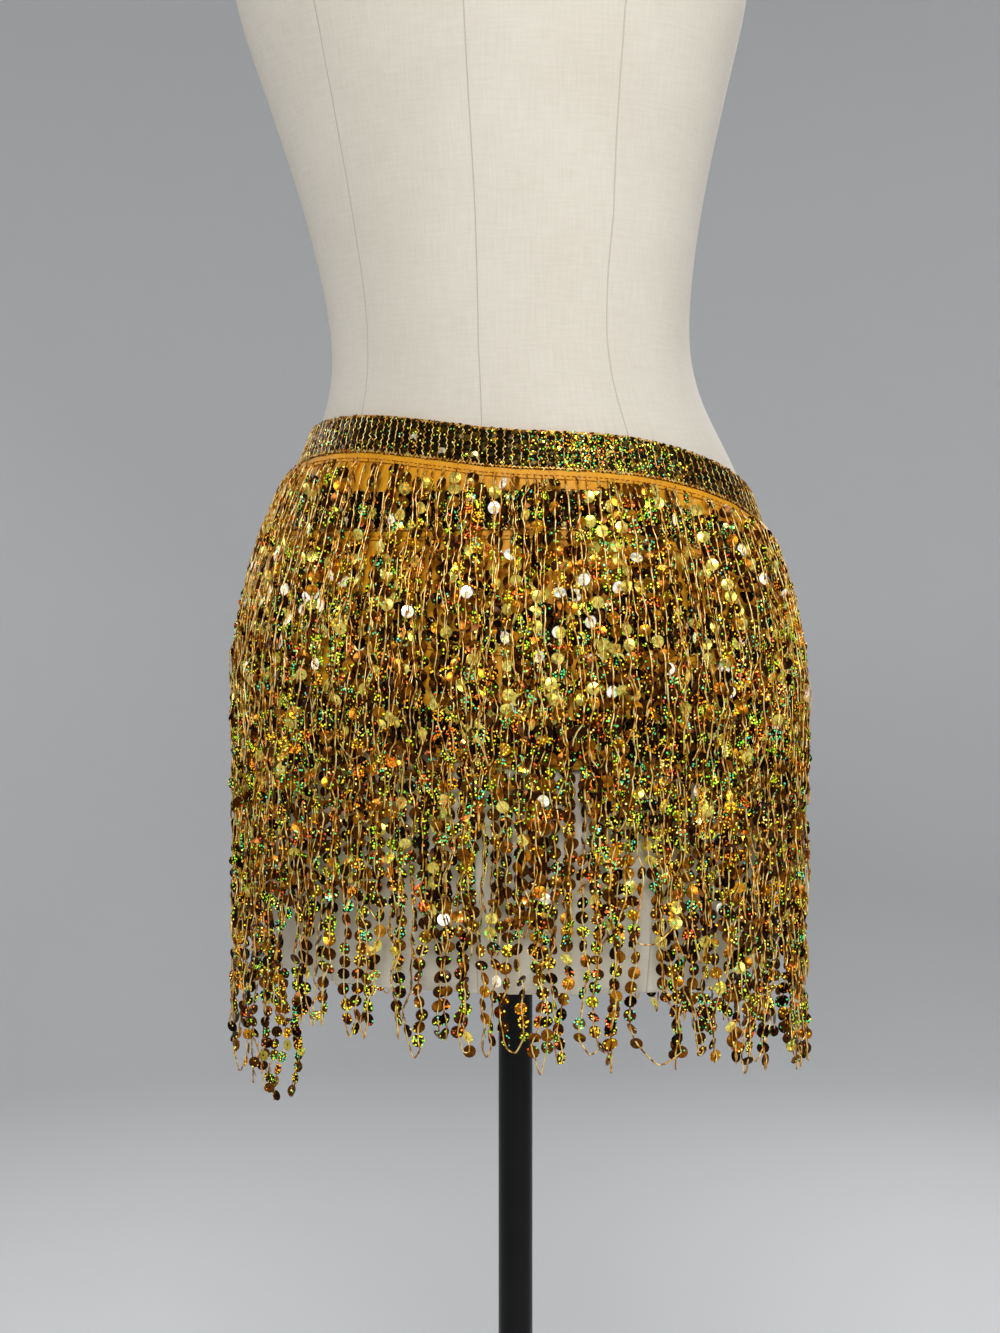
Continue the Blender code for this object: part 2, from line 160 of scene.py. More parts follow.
def makeLinen():
    # unbleached linen drawn tight over the form: matt, with faint slubs both ways and pressed-open seams
    material, tree, shader, place = startMaterial("unbleached_linen")
    sewn = addNode(tree, "UVMap", uv_map="seams").outputs["UV"]
    # threads are 0.5 mm apart, too fine to show, so the slubs are drawn 1.5 mm thick, and 14 times as long
    thin = seamUnit / (1.5 * mm)
    warp = addNode(tree, "Mapping", {"Vector": sewn, "Scale": (thin, thin / 14, 1)})
    weft = addNode(tree, "Mapping", {"Vector": sewn, "Scale": (thin / 14, thin, 1)})
    slubs = [addNode(tree, "TexNoise", {"Vector": way.outputs["Vector"], "Scale": 1.0, "Detail": 2.0})
             for way in (warp, weft)]
    both = addNode(tree, "Math", {0: slubs[0].outputs["Fac"], 1: slubs[1].outputs["Fac"]}, operation="ADD")
    mottle = addNode(tree, "TexNoise", {"Vector": place, "Scale": 1 / (60 * mm), "Detail": 3.0})
    tone = addNode(tree, "Math", {0: both.outputs[0], 1: mottle.outputs["Fac"]}, operation="ADD")
    shade = addNode(tree, "MapRange", {"Value": tone.outputs[0], "From Min": 1.0, "From Max": 2.0})
    cloth = addNode(tree, "ValToRGB", {"Fac": shade.outputs[0]},
                    stops=((0.0, "#D3CBBC"), (1.0, "#DFD8CA")))
    # how far a point is from the nearest seam
    apart = addNode(tree, "SeparateXYZ", {"Vector": sewn})
    shifted = addNode(tree, "Math", {0: apart.outputs["X"], 1: 0.5}, operation="ADD")
    share = addNode(tree, "Math", {0: shifted.outputs[0]}, operation="FRACT")
    centred = addNode(tree, "Math", {0: share.outputs[0], 1: 0.5}, operation="SUBTRACT")
    away = addNode(tree, "Math", {0: centred.outputs[0]}, operation="ABSOLUTE")
    groove = addNode(tree, "MapRange", {"Value": away.outputs[0], "From Min": 0.1 * mm / seamUnit,
                                        "From Max": 0.8 * mm / seamUnit}, interpolation_type="SMOOTHSTEP")
    seamed = addNode(tree, "MixRGB", {"Fac": groove.outputs[0], "Color1": linearColour("#C6BDAE"),
                                      "Color2": cloth.outputs["Color"]})
    tree.links.new(seamed.outputs["Color"], shader.inputs["Base Color"])
    weave = addNode(tree, "Bump", {"Height": both.outputs[0], "Strength": 0.16, "Distance": 0.4 * mm})
    sunk = addNode(tree, "Bump", {"Height": groove.outputs[0], "Strength": 0.6, "Distance": 0.5 * mm,
                                  "Normal": weave.outputs["Normal"]})
    tree.links.new(sunk.outputs["Normal"], shader.inputs["Normal"])
    shader.inputs["Roughness"].default_value = 0.88
    shader.inputs["Sheen Weight"].default_value = 0.12
    shader.inputs["Sheen Roughness"].default_value = 0.5
    return material


def makeStretchCloth(name, dark, light, sheen):
    # polyester stretch knit: a soft sheen on its folds, and fine wales running up and down, which are
    # about 0.5 mm apart and are drawn 1.1 mm apart to show
    material, tree, shader, place = startMaterial(name)
    wale = addNode(tree, "Mapping", {"Vector": place,
                                     "Scale": (1 / (1.1 * mm), 1 / (1.1 * mm), 1 / (5 * mm))})
    knit = addNode(tree, "TexNoise", {"Vector": wale.outputs["Vector"], "Scale": 1.0, "Detail": 1.0})
    mottle = addNode(tree, "TexNoise", {"Vector": place, "Scale": 1 / (22 * mm), "Detail": 2.0})
    tone = addNode(tree, "Math", {0: knit.outputs["Fac"], 1: mottle.outputs["Fac"]}, operation="ADD")
    shade = addNode(tree, "MapRange", {"Value": tone.outputs[0], "From Min": 0.6, "From Max": 1.4})
    cloth = addNode(tree, "ValToRGB", {"Fac": shade.outputs[0]}, stops=((0.0, dark), (1.0, light)))
    tree.links.new(cloth.outputs["Color"], shader.inputs["Base Color"])
    bump = addNode(tree, "Bump", {"Height": knit.outputs["Fac"], "Strength": 0.25, "Distance": 0.3 * mm})
    tree.links.new(bump.outputs["Normal"], shader.inputs["Normal"])
    shader.inputs["Roughness"].default_value = 0.52
    shader.inputs["Specular IOR Level"].default_value = 0.25
    shader.inputs["Sheen Weight"].default_value = sheen
    shader.inputs["Sheen Roughness"].default_value = 0.35
    return material


def makeSequinFilm(name, looks):
    # metallised holographic PET film, punched: dark gold until it catches the light, and scattered with tiny
    # dots that flash green, gold, orange or white; the flashes are painted glints and the lit faces are
    # painted highlights, both made to glow
    material, tree, shader, place = startMaterial(name)
    stored = addNode(tree, "Attribute", attribute_name="look").outputs["Vector"]
    look = addNode(tree, "SeparateXYZ", {"Vector": stored})
    spark, tone, faceHighlight = (look.outputs[axis] for axis in "XYZ")
    disc = addNode(tree, "Attribute", attribute_name="disc").outputs["Vector"]
    flatDisc = addNode(tree, "VectorMath", {0: disc, 1: (1, 1, 0)}, operation="MULTIPLY").outputs["Vector"]
    middle = addNode(tree, "VectorMath", {0: flatDisc}, operation="LENGTH").outputs["Value"]
    body = addNode(tree, "ValToRGB", {"Fac": tone}, stops=looks["body"])
    # discs painted pale stand for a highlight over the whole face, where it catches the lamps
    faceHighlightFilm = addNode(tree, "ValToRGB", {"Fac": faceHighlight}, stops=looks["faceHighlight"])
    isHighlit = addNode(tree, "Math", {0: faceHighlight, 1: 0.02}, operation="GREATER_THAN").outputs[0]
    film = addNode(tree, "MixRGB", {"Fac": isHighlit, "Color1": body.outputs["Color"],
                                    "Color2": faceHighlightFilm.outputs["Color"]}).outputs["Color"]
    # the punched hole, which is not cut: a dark dot painted in its place stands for the shade seen through
    # it; the bruised film round it, and a darker cut rim
    hole = addNode(tree, "ValToRGB", {"Fac": middle}, stops=looks["holeShadeAndWear"])
    film = addNode(tree, "MixRGB", {"Fac": 1.0, "Color1": film, "Color2": hole.outputs["Color"]},
                   blend_type="MULTIPLY").outputs["Color"]
    # holographic dots: painted glints, a cell pattern at the emboss's own scale, all of about one colour on
    # each sequin
    cells = addNode(tree, "TexVoronoi", {"Vector": place, "Scale": 1 / looks["dot"], "Randomness": 0.85})
    picks = addNode(tree, "SeparateColor", {"Color": cells.outputs["Color"]})
    emboss = addNode(tree, "MapRange", {"Value": picks.outputs["Blue"], "To Min": 0.55, "To Max": 1.2})
    film = addNode(tree, "MixRGB", {"Fac": 1.0, "Color1": film, "Color2": emboss.outputs[0]},
                   blend_type="MULTIPLY").outputs["Color"]
    inside = addNode(tree, "MapRange", {"Value": cells.outputs["Distance"], "From Min": 0.34,
                                        "From Max": 0.50, "To Min": 1.0, "To Max": 0.0})
    lit = addNode(tree, "Math", {0: picks.outputs["Green"], 1: spark}, operation="LESS_THAN")
    dots = addNode(tree, "Math", {0: inside.outputs[0], 1: lit.outputs[0]}, operation="MULTIPLY").outputs[0]
    own = addNode(tree, "SeparateXYZ", {"Vector": disc}).outputs["Z"]
    spread = addNode(tree, "Math", {0: picks.outputs["Red"], 1: looks["mixed"], 2: own},
                     operation="MULTIPLY_ADD")
    hue = addNode(tree, "Math", {0: spread.outputs[0]}, operation="FRACT")
    flash = addNode(tree, "ValToRGB", {"Fac": hue.outputs[0]}, stops=looks["flash"])
    flash.color_ramp.interpolation = "CONSTANT"
    shown = addNode(tree, "MixRGB", {"Fac": dots, "Color1": film, "Color2": flash.outputs["Color"]})
    tree.links.new(shown.outputs["Color"], shader.inputs["Base Color"])
    tree.links.new(shown.outputs["Color"], shader.inputs["Emission Color"])
    # the painted glints and the painted whole-face highlights are made to glow, though the film is no lamp
    highlightEmission = addNode(tree, "Math", {0: faceHighlight, 1: looks["highlightGlow"]}, operation="MULTIPLY").outputs[0]
    glow = addNode(tree, "Math", {0: dots, 1: looks["glow"], 2: highlightEmission}, operation="MULTIPLY_ADD")
    tree.links.new(glow.outputs[0], shader.inputs["Emission Strength"])
    shader.inputs["Metallic"].default_value = looks["metallic"]
    shader.inputs["Roughness"].default_value = 0.24
    material.cycles.emission_sampling = "NONE"
    return material


def makeLurex(name, dark, middle, light):
    # lurex thread: a twisted strip of metallised film, so it glints in short lengths; these glints are
    # painted highlights, lighter and darker lengths in its colour, which are about 1 mm and are drawn 5 mm
    # long to show
    material, tree, shader, place = startMaterial(name)
    along = addNode(tree, "Mapping", {"Vector": place, "Scale": (1 / (2 * mm), 1 / (2 * mm), 1 / (5 * mm))})
    twist = addNode(tree, "TexNoise", {"Vector": along.outputs["Vector"], "Scale": 1.0, "Detail": 1.0})
    shade = addNode(tree, "MapRange", {"Value": twist.outputs["Fac"], "From Min": 0.36, "From Max": 0.60})
    # painted highlights: lighter and darker lengths along the thread stand in for its glints
    paintedGlints = addNode(tree, "ValToRGB", {"Fac": shade.outputs[0]},
                    stops=((0.0, dark), (0.55, middle), (1.0, light)))
    tree.links.new(paintedGlints.outputs["Color"], shader.inputs["Base Color"])
    shader.inputs["Metallic"].default_value = 0.5
    shader.inputs["Roughness"].default_value = 0.34
    shader.inputs["Specular IOR Level"].default_value = 0.3
    return material


def makePowderCoat():
    # powder-coated steel: black, half glossy, with a fine orange peel
    material, tree, shader, place = startMaterial("powder_coated_steel")
    peel = addNode(tree, "TexNoise", {"Vector": place, "Scale": 1 / (1.6 * mm), "Detail": 2.0})
    dust = addNode(tree, "TexNoise", {"Vector": place, "Scale": 1 / (35 * mm), "Detail": 4.0})
    rough = addNode(tree, "MapRange", {"Value": dust.outputs["Fac"], "From Min": 0.3, "From Max": 0.7,
                                       "To Min": 0.30, "To Max": 0.42})
    tone = addNode(tree, "ValToRGB", {"Fac": dust.outputs["Fac"]},
                   stops=((0.3, "#040405"), (0.8, "#0C0C0E")))
    tree.links.new(tone.outputs["Color"], shader.inputs["Base Color"])
    tree.links.new(rough.outputs[0], shader.inputs["Roughness"])
    bump = addNode(tree, "Bump", {"Height": peel.outputs["Fac"], "Strength": 0.12, "Distance": 0.1 * mm})
    tree.links.new(bump.outputs["Normal"], shader.inputs["Normal"])
    shader.inputs["Specular IOR Level"].default_value = 0.2
    return material


def makeStainedWood():
    # turned beech, stained black and waxed: satin, with the grain just showing through
    material, tree, shader, place = startMaterial("black_stained_beech")
    along = addNode(tree, "Mapping", {"Vector": place,
                                      "Scale": (1 / (4 * mm), 1 / (60 * mm), 1 / (4 * mm))})
    grain = addNode(tree, "TexNoise", {"Vector": along.outputs["Vector"], "Scale": 1.0, "Detail": 4.0})
    tone = addNode(tree, "ValToRGB", {"Fac": grain.outputs["Fac"]},
                   stops=((0.35, "#120E0C"), (0.7, "#2C231D")))
    tree.links.new(tone.outputs["Color"], shader.inputs["Base Color"])
    bump = addNode(tree, "Bump", {"Height": grain.outputs["Fac"], "Strength": 0.15, "Distance": 0.2 * mm})
    tree.links.new(bump.outputs["Normal"], shader.inputs["Normal"])
    shader.inputs["Roughness"].default_value = 0.38
    return material


flashColours = (
    (0.00, "#E2EA2C"), (0.18, "#8CDC28"), (0.32, "#FAF050"), (0.44, "#FFC820"), (0.56, "#FF961A"),
    (0.67, "#F05830"), (0.76, "#FFF084"), (0.85, "#48D878"), (0.94, "#58CCAC"),
)
holeShadeAndWearOfFilm = ((0.0, "#3A2C12"), (0.13, "#4A3A1A"), (0.20, "#F4F4F4"), (0.86, "#FFFFFF"), (1.0, "#9A9A9A"))
bandFilm = {
    "body": ((0.0, "#221A05"), (0.5, "#3C2F0A"), (1.0, "#82641C")),
    "faceHighlight": ((0.0, "#DCC660"), (1.0, "#FFF8D0")),
    "holeShadeAndWear": holeShadeAndWearOfFilm,
    "flash": flashColours,
    "dot": 1.25 * mm,  # an emboss cell is about 0.8 mm, drawn coarser to show
    "mixed": 0.9,  # how far the dots of one sequin differ in colour
    "glow": 0.85,
    "highlightGlow": 0.2,
    "metallic": 0.9,
}
fringeFilm = {
    "body": ((0.0, "#1E0D03"), (0.4, "#5A3006"), (0.72, "#AE680C"), (1.0, "#F4A420")),
    "faceHighlight": ((0.0, "#D2BC3C"), (0.6, "#F0DE70"), (1.0, "#FFFBE8")),
    "holeShadeAndWear": holeShadeAndWearOfFilm,
    "flash": flashColours,
    "dot": 1.5 * mm,  # drawn coarser for the same reason
    "mixed": 0.24,
    "glow": 1.1,
    "highlightGlow": 0.6,
    "metallic": 0.9,
}

linen = makeLinen()
goldCloth = makeStretchCloth("stretch_knit_polyester", "#DA900E", "#FCB62A", 0.04)
tapeCloth = makeStretchCloth("woven_fringe_tape", "#CE8A0C", "#F2AC22", 0.02)
stripCloth = makeStretchCloth("trim_backing_tape", "#4A3408", "#8A6414", 0.02)
bandSequinFilm = makeSequinFilm("holographic_film_sewn", bandFilm)
fringeSequinFilm = makeSequinFilm("holographic_film_strung", fringeFilm)
lurex = makeLurex("pale_gold_lurex", "#7C4608", "#F2AC32", "#FFE698")
stitchThread = makeLurex("orange_sewing_thread", "#A85C10", "#C07018", "#D08426")
powderCoat = makePowderCoat()
stainedWood = makeStainedWood()
print("materials made")


# the dress form

dressForm = {
    "rimCrease": 0.75,
    "subdivisions": 2,
    "seamTurns": (-180, -138, -90, -40, 0, 40, 90, 138, 180),  # from the centre back
    # level, and there the turn of the back's side seams and how far round the centre back seam lies
    "backSeams": (
        (0.95, 38.5, 0.0),
        (1.03, 40.0, -0.5),
        (1.105, 40.3, 0.9),
        (1.23, 36.8, 2.0),
        (1.36, 34.0, 2.0),
    ),
    "rim": 12 * mm,
}


def ringsOfForm():
    # level, middle in x, half width, depth of the back and of the front, from the CAD form's own rings
    points = pointsOf(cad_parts["form_torso"].data)
    levels = np.unique(np.round(points[:, 2], 4))
    rows = []
    for level in levels:
        ring = points[np.abs(points[:, 2] - level) < 0.2 * mm]
        low, high = ring.min(axis=0), ring.max(axis=0)
        rows.append((level, (low[0] + high[0]) / 2, (high[0] - low[0]) / 2, -low[1], high[1]))
    return np.array(rows).T


def mapSeams(piece):
    # u is 0 at the centre back seam and 1 more at each seam to the right; v is the height, in like units
    levels, middles, widths, backs, fronts = ringsOfForm()
    points = pointsOf(piece.data)
    x, y, z = points.T
    depth = np.where(y < 0, np.interp(z, levels, backs), np.interp(z, levels, fronts))
    across = (x - np.interp(z, levels, middles)) / np.interp(z, levels, widths)
    turn = np.degrees(np.arctan2(across, -y / depth))
    seamLevels, sideSeams, centreSeams = np.array(dressForm["backSeams"]).T
    backness = np.clip((90 - np.abs(turn)) / 30, 0, 1)
    turn = turn - np.interp(z, seamLevels, centreSeams) * backness
    plain = dressForm["seamTurns"][5]
    nearSeam = np.interp(z, seamLevels, sideSeams)
    size = np.abs(turn)
    inner = size * plain / nearSeam
    outer = plain + (size - nearSeam) * (90 - plain) / (90 - nearSeam)
    within = np.where(size < nearSeam, inner, outer)
    turn = np.where(size < 90, np.sign(turn) * within, turn)
    seam = np.interp(turn, dressForm["seamTurns"], np.arange(-4, 5))
    layer = piece.data.uv_layers.new(name="seams")
    corners = np.empty(len(piece.data.loops), dtype=int)
    piece.data.loops.foreach_get("vertex_index", corners)
    places = np.stack((seam[corners], z[corners] / seamUnit), axis=1)
    for polygon in piece.data.polygons:
        around = slice(polygon.loop_start, polygon.loop_start + polygon.loop_total)
        if np.ptp(places[around, 0]) > 4:
            places[around, 0] = np.where(places[around, 0] < 0, places[around, 0] + 8, places[around, 0])
    layer.uv.foreach_set("vector", places.ravel())


def makeForm():
    form = copyOfNode("form_torso", "dress_form")
    low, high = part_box("form_torso")
    for polygon in form.data.polygons:
        polygon.select = abs(polygon.normal.z) > 0.99 and (
            polygon.center.z < low[2] + mm or polygon.center.z > high[2] - mm)
    selectOnly(form)
    bpy.ops.object.mode_set(mode="EDIT")
    bpy.ops.mesh.select_mode(type="FACE")
    bpy.ops.mesh.dissolve_faces()
    bpy.ops.mesh.inset(thickness=dressForm["rim"])
    bpy.ops.mesh.select_all(action="SELECT")
    bpy.ops.mesh.normals_make_consistent(inside=False)
    bpy.ops.mesh.select_mode(type="EDGE")
    bpy.ops.mesh.select_all(action="DESELECT")
    bpy.ops.mesh.edges_select_sharp(sharpness=math.radians(60))
    bpy.ops.transform.edge_crease(value=dressForm["rimCrease"])
    leaveEdit()
    levels = dressForm["subdivisions"]
    applyModifier(form, "SUBSURF", levels=levels, render_levels=levels)
    smooth(form, 50)
    mapSeams(form)
    finishPiece(form, linen, ["form_torso"])
    return form


form = makeForm()
print("dress form made,", len(form.data.polygons), "faces")


# where things lie on the form

lowLevel, highLevel, levelStep = 0.50, 1.06, 5 * mm
gridLevels = np.arange(lowLevel, highLevel + levelStep / 2, levelStep)
gridTurns = np.arange(0, 361)


def middleTurn(node):
    low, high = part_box(node)
    return math.degrees(math.atan2((low[0] + high[0]) / 2, -(low[1] + high[1]) / 2))


openingTurn = middleTurn("tie_knot")  # from the centre back


def castForm():
    # the form's surface, and below its fullest level a straight drop from it
    tree = BVHTree.FromObject(form, bpy.context.evaluated_depsgraph_get())
    reach = np.zeros((len(gridTurns), len(gridLevels)))
    ways = np.radians(gridTurns + openingTurn)
    ways = np.stack((np.sin(ways), -np.cos(ways), np.zeros(len(ways))), axis=1)
    for i, way in enumerate(ways):
        for j, level in enumerate(gridLevels):
            hit = tree.ray_cast(Vector((0, 0, level)), Vector(way))
            if hit[0] is not None:
                reach[i, j] = hit[3]
    hung = np.maximum.accumulate(reach[:, ::-1], axis=1)[:, ::-1]
    points = ways[:, None, :] * hung[:, :, None]
    points[:, :, 2] = gridLevels
    around = np.roll(points[:-1], -1, axis=0) - np.roll(points[:-1], 1, axis=0)
    around = np.concatenate((around, around[:1]))
    upward = np.gradient(points, axis=1)
    normals = np.cross(around, upward)
    normals /= np.linalg.norm(normals, axis=2, keepdims=True)
    return points, normals


gridPoints, gridNormals = castForm()


def sampleGrid(grid, turn, level):
    turn, level = np.broadcast_arrays(np.asarray(turn, float) % 360, np.asarray(level, float))
    column = np.floor(turn).astype(int)
    height = np.clip((level - lowLevel) / levelStep, 0, len(gridLevels) - 1.001)
    row = np.floor(height).astype(int)
    s, t = (turn - column)[..., None], (height - row)[..., None]
    near = grid[column, row] * (1 - t) + grid[column, row + 1] * t
    far = grid[column + 1, row] * (1 - t) + grid[column + 1, row + 1] * t
    return near * (1 - s) + far * s


def place(turn, level, offset=0.0):
    point = sampleGrid(gridPoints, turn, level)
    return point + sampleGrid(gridNormals, turn, level) * np.asarray(offset)[..., None]


def outwardAt(turn, level):
    way = sampleGrid(gridNormals, turn, level)
    return way / np.linalg.norm(way, axis=-1, keepdims=True)


def degreesOf(width, turn, level):
    # the turn that spans a width at a place
    step = place(np.asarray(turn) + 0.5, level) - place(np.asarray(turn) - 0.5, level)
    return width / np.linalg.norm(step, axis=-1)


def evenTurns(spacing, start, end, level):
    # turns between two others, evenly spaced along the form at a level
    fine = np.linspace(start, end, 1500)
    run = np.linalg.norm(np.diff(place(fine, level), axis=0), axis=1)
    run = np.concatenate(([0], np.cumsum(run)))
    count = int(run[-1] / spacing)
    return np.interp(np.linspace(0, run[-1], count + 1), run, fine)


def readBand(number):
    # a band's edges from its CAD node: each of its columns has two points above and two below
    points = np.unique(np.round(pointsOf(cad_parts[f"sequin_band_{number}"].data), 5), axis=0)
    turns = (np.degrees(np.arctan2(points[:, 0], -points[:, 1])) - openingTurn) % 360
    order = np.argsort(turns)
    columns = order.reshape(-1, 4)
    levels = np.sort(points[columns, 2], axis=1)
    middle = turns[columns].mean(axis=1)
    fine = np.linspace(middle[0], middle[-1], 720)
    reach = 9  # steps either way that the edges are smoothed over
    window = np.hanning(2 * reach + 1)
    edges = []
    for level in (levels[:, :2].mean(axis=1), levels[:, 2:].mean(axis=1)):
        line = np.pad(np.interp(fine, middle, level), reach, mode="edge")
        edges.append(np.convolve(line, window / window.sum(), mode="valid"))
    return turns.min(), turns.max(), fine, edges[0], edges[1]


bandLines = {number: readBand(number) for number in (1, 2, 3, 4)}
wrapStart = max(lines[0] for lines in bandLines.values())
wrapEnd = min(lines[1] for lines in bandLines.values())


def bandLow(number, turn):
    return np.interp(turn, bandLines[number][2], bandLines[number][3])


def bandTop(number, turn):
    return np.interp(turn, bandLines[number][2], bandLines[number][4])


hipLevel = float(np.mean(bandLines[3][3]))
readTurn = 111.0  # close to the centre back, where a band's own level is read
print(f"form measured, the wrap runs from turn {wrapStart:.1f} to {wrapEnd:.1f}")


# making one mesh of many copies

def arraysToPiece(name, points, faces, attributes=None, flat=False):
    mesh = bpy.data.meshes.new(name)
    mesh.from_pydata(points.tolist(), [], faces, shade_flat=flat)
    for key, values in (attributes or {}).items():
        layer = mesh.attributes.new(key, "FLOAT_VECTOR", "POINT")
        layer.data.foreach_set("vector", np.asarray(values, np.float32).ravel())
    piece = bpy.data.objects.new(name, mesh)
    bpy.context.scene.collection.objects.link(piece)
    return piece


def modelSequin(sides, diameter, cup):
    # one punched sequin: a shallow dish of film, its rim at z = 0 and its bulge forward
    deselectAll()
    bpy.ops.mesh.primitive_cone_add(vertices=sides, radius1=diameter / 2, depth=cup,
                                    end_fill_type="TRIFAN", location=(0, 0, cup / 2))
    sequin = bpy.context.object
    applyPlace(sequin)
    points = pointsOf(sequin.data)
    middle = np.linalg.norm(points[:, :2], axis=1) < diameter / 10
    points[middle & (points[:, 2] < cup / 2), 2] = 0.45 * cup
    faces = np.array([polygon.vertices[:] for polygon in sequin.data.polygons])
    bpy.data.objects.remove(sequin)
    return points, faces


def spreadSequins(name, model, diameter, centres, normals, ups, looks):
    # a copy of the sequin at each centre, facing along its normal
    points, faces = model
    ups = ups - (ups * normals).sum(axis=1, keepdims=True) * normals
    ups /= np.linalg.norm(ups, axis=1, keepdims=True)
    sides = np.cross(ups, normals)
    axes = np.stack((sides, ups, normals), axis=1)
    spread = centres[:, None, :] + np.einsum("vk,nkd->nvd", points, axes)
    count, each = len(centres), len(points)
    allFaces = (faces[None] + (np.arange(count) * each)[:, None, None]).reshape(-1, 3)
    disc = np.broadcast_to(points / (diameter / 2), (count, each, 3)).copy()
    disc[:, :, 2] = dice.random(count)[:, None]
    look = np.broadcast_to(looks[:, None, :], (count, each, 3))
    return arraysToPiece(name, spread.reshape(-1, 3), allFaces.tolist(),
                         {"disc": disc.reshape(-1, 3), "look": look.reshape(-1, 3)}, flat=True)


def spinThreads(name, paths, radius, sides=3):
    # a thin closed tube along each path
    allPoints, allFaces, start = [], [], 0
    turns = np.arange(sides) * 2 * math.pi / sides
    for path in paths:
        along = np.gradient(path, axis=0)
        along /= np.linalg.norm(along, axis=1, keepdims=True) + 1e-12
        out = path * (1, 1, 0)
        out /= np.linalg.norm(out, axis=1, keepdims=True) + 1e-12
        side = np.cross(along, out)
        side /= np.linalg.norm(side, axis=1, keepdims=True) + 1e-12
        lift = np.cross(side, along)
        across = np.cos(turns)[None, :, None] * side[:, None, :]
        outward = np.sin(turns)[None, :, None] * lift[:, None, :]
        rings = path[:, None, :] + radius * (across + outward)
        count = len(path)
        near = start + np.arange(count - 1)[:, None] * sides + np.arange(sides)[None, :]
        nextNear = start + np.arange(count - 1)[:, None] * sides + (np.arange(sides)[None, :] + 1) % sides
        quads = np.stack((near, nextNear, nextNear + sides, near + sides), axis=2).reshape(-1, 4)
        allFaces += quads[:, ::-1].tolist()
        allFaces.append([start + i for i in range(sides)])
        allFaces.append([start + (count - 1) * sides + i for i in reversed(range(sides))])
        allPoints.append(rings.reshape(-1, 3))
        start += count * sides
    return arraysToPiece(name, np.concatenate(allPoints), allFaces)


def layCloth(name, columns, rows, turns, levelsAt, offsetAt, thickness):
    # a sheet laid on the form: a grid whose columns are turns, and whose rows run from its top edge down
    deselectAll()
    bpy.ops.mesh.primitive_grid_add(x_subdivisions=columns, y_subdivisions=rows, size=2)
    cloth = bpy.context.object
    cloth.name = name
    cloth.data.name = name
    points = pointsOf(cloth.data)
    share = (points[:, 0] + 1) / 2
    down = (1 - points[:, 1]) / 2
    turn = turns[0] + (turns[1] - turns[0]) * share
    level = levelsAt(turn, down)
    movePoints(cloth, place(turn, level, offsetAt(turn, level, down)))
    applyModifier(cloth, "SOLIDIFY", thickness=thickness, offset=0)
    smooth(cloth, 50)
    return cloth


# the gold wrap

wrap = {
    "thickness": 0.9 * mm,
    "offset": 1.9 * mm,
    "ripple": 0.35 * mm,
    "showsAboveBand": 1.6 * mm,
    "columns": 330,
    "rows": 56,
    # turn, share of the way down, half length as a share, half width and height of each soft ridge
    "creases": (
        (70, 0.27, 0.10, 9 * mm, 0.9 * mm),
        (88, 0.62, 0.09, 7 * mm, 1.1 * mm),
        (101, 0.30, 0.09, 6 * mm, 1.0 * mm),
        (112, 0.56, 0.10, 8 * mm, 1.2 * mm),
        (121, 0.87, 0.08, 9 * mm, 1.2 * mm),
        (133, 0.28, 0.08, 7 * mm, 0.9 * mm),
        (139, 0.60, 0.11, 7 * mm, 1.2 * mm),
        (152, 0.85, 0.08, 9 * mm, 1.0 * mm),
        (166, 0.29, 0.09, 8 * mm, 1.1 * mm),
        (181, 0.57, 0.10, 6 * mm, 1.0 * mm),
        (205, 0.30, 0.09, 9 * mm, 1.0 * mm),
        (228, 0.60, 0.10, 8 * mm, 1.1 * mm),
        (246, 0.28, 0.09, 7 * mm, 1.0 * mm),
        (262, 0.86, 0.08, 8 * mm, 1.1 * mm),
        (281, 0.58, 0.10, 8 * mm, 1.0 * mm),
        (301, 0.30, 0.09, 7 * mm, 1.0 * mm),
        (318, 0.60, 0.10, 9 * mm, 1.2 * mm),
        (335, 0.29, 0.08, 7 * mm, 0.9 * mm),
        (22, 0.30, 0.09, 8 * mm, 1.0 * mm),
        (38, 0.58, 0.10, 7 * mm, 1.1 * mm),
        (52, 0.86, 0.08, 8 * mm, 1.0 * mm),
    ),
}
fringeStrip = {
    "height": 5 * mm,
    "gap": 0.2 * mm,
    "offset": 3.2 * mm,
    "thickness": 0.6 * mm,
    "ripple": 0.25 * mm,
    "columns": 330,
    "rows": 4,
    "endMargin": 0.6,  # degrees
    "stitchPitch": 3.2 * mm,
    "stitch": 2.4 * mm,
    "stitchDown": 3.4 * mm,
    "stitchRadius": 0.3 * mm,
}


def wrapLevels(turn, down):
    top = bandTop(1, turn)
    low = bandLow(4, turn) - fringeStrip["height"]
    return top + (low - top) * down


def wrapOffset(turn, level, down):
    offset = np.full(turn.shape, wrap["offset"])
    # gathers between the bands: free of them, held down under them
    free = np.zeros(turn.shape)
    for number in (1, 2, 3):
        upper, lower = bandLow(number, turn), bandTop(number + 1, turn)
        share = np.clip((upper - level) / (upper - lower), 0, 1)
        free = np.maximum(free, np.sin(np.pi * share) ** 0.7)
    for middle, middleDown, halfLength, halfWidth, height in wrap["creases"]:
        aside = (turn - middle) / degreesOf(halfWidth, middle, hipLevel)
        upDown = (down - middleDown) / halfLength
        offset += height * np.exp(-aside ** 2 - upDown ** 2) * free
    ripple = np.sin(np.radians(turn * 23)) * np.sin(np.radians(turn * 7 + level * 9000))
    return offset + wrap["ripple"] * ripple * free


panel = layCloth("panel_cloth", wrap["columns"], wrap["rows"], (wrapStart, wrapEnd), wrapLevels, wrapOffset,
                 wrap["thickness"])
finishPiece(panel, goldCloth, ["panel"])
print("wrap made")


# the sequin bands

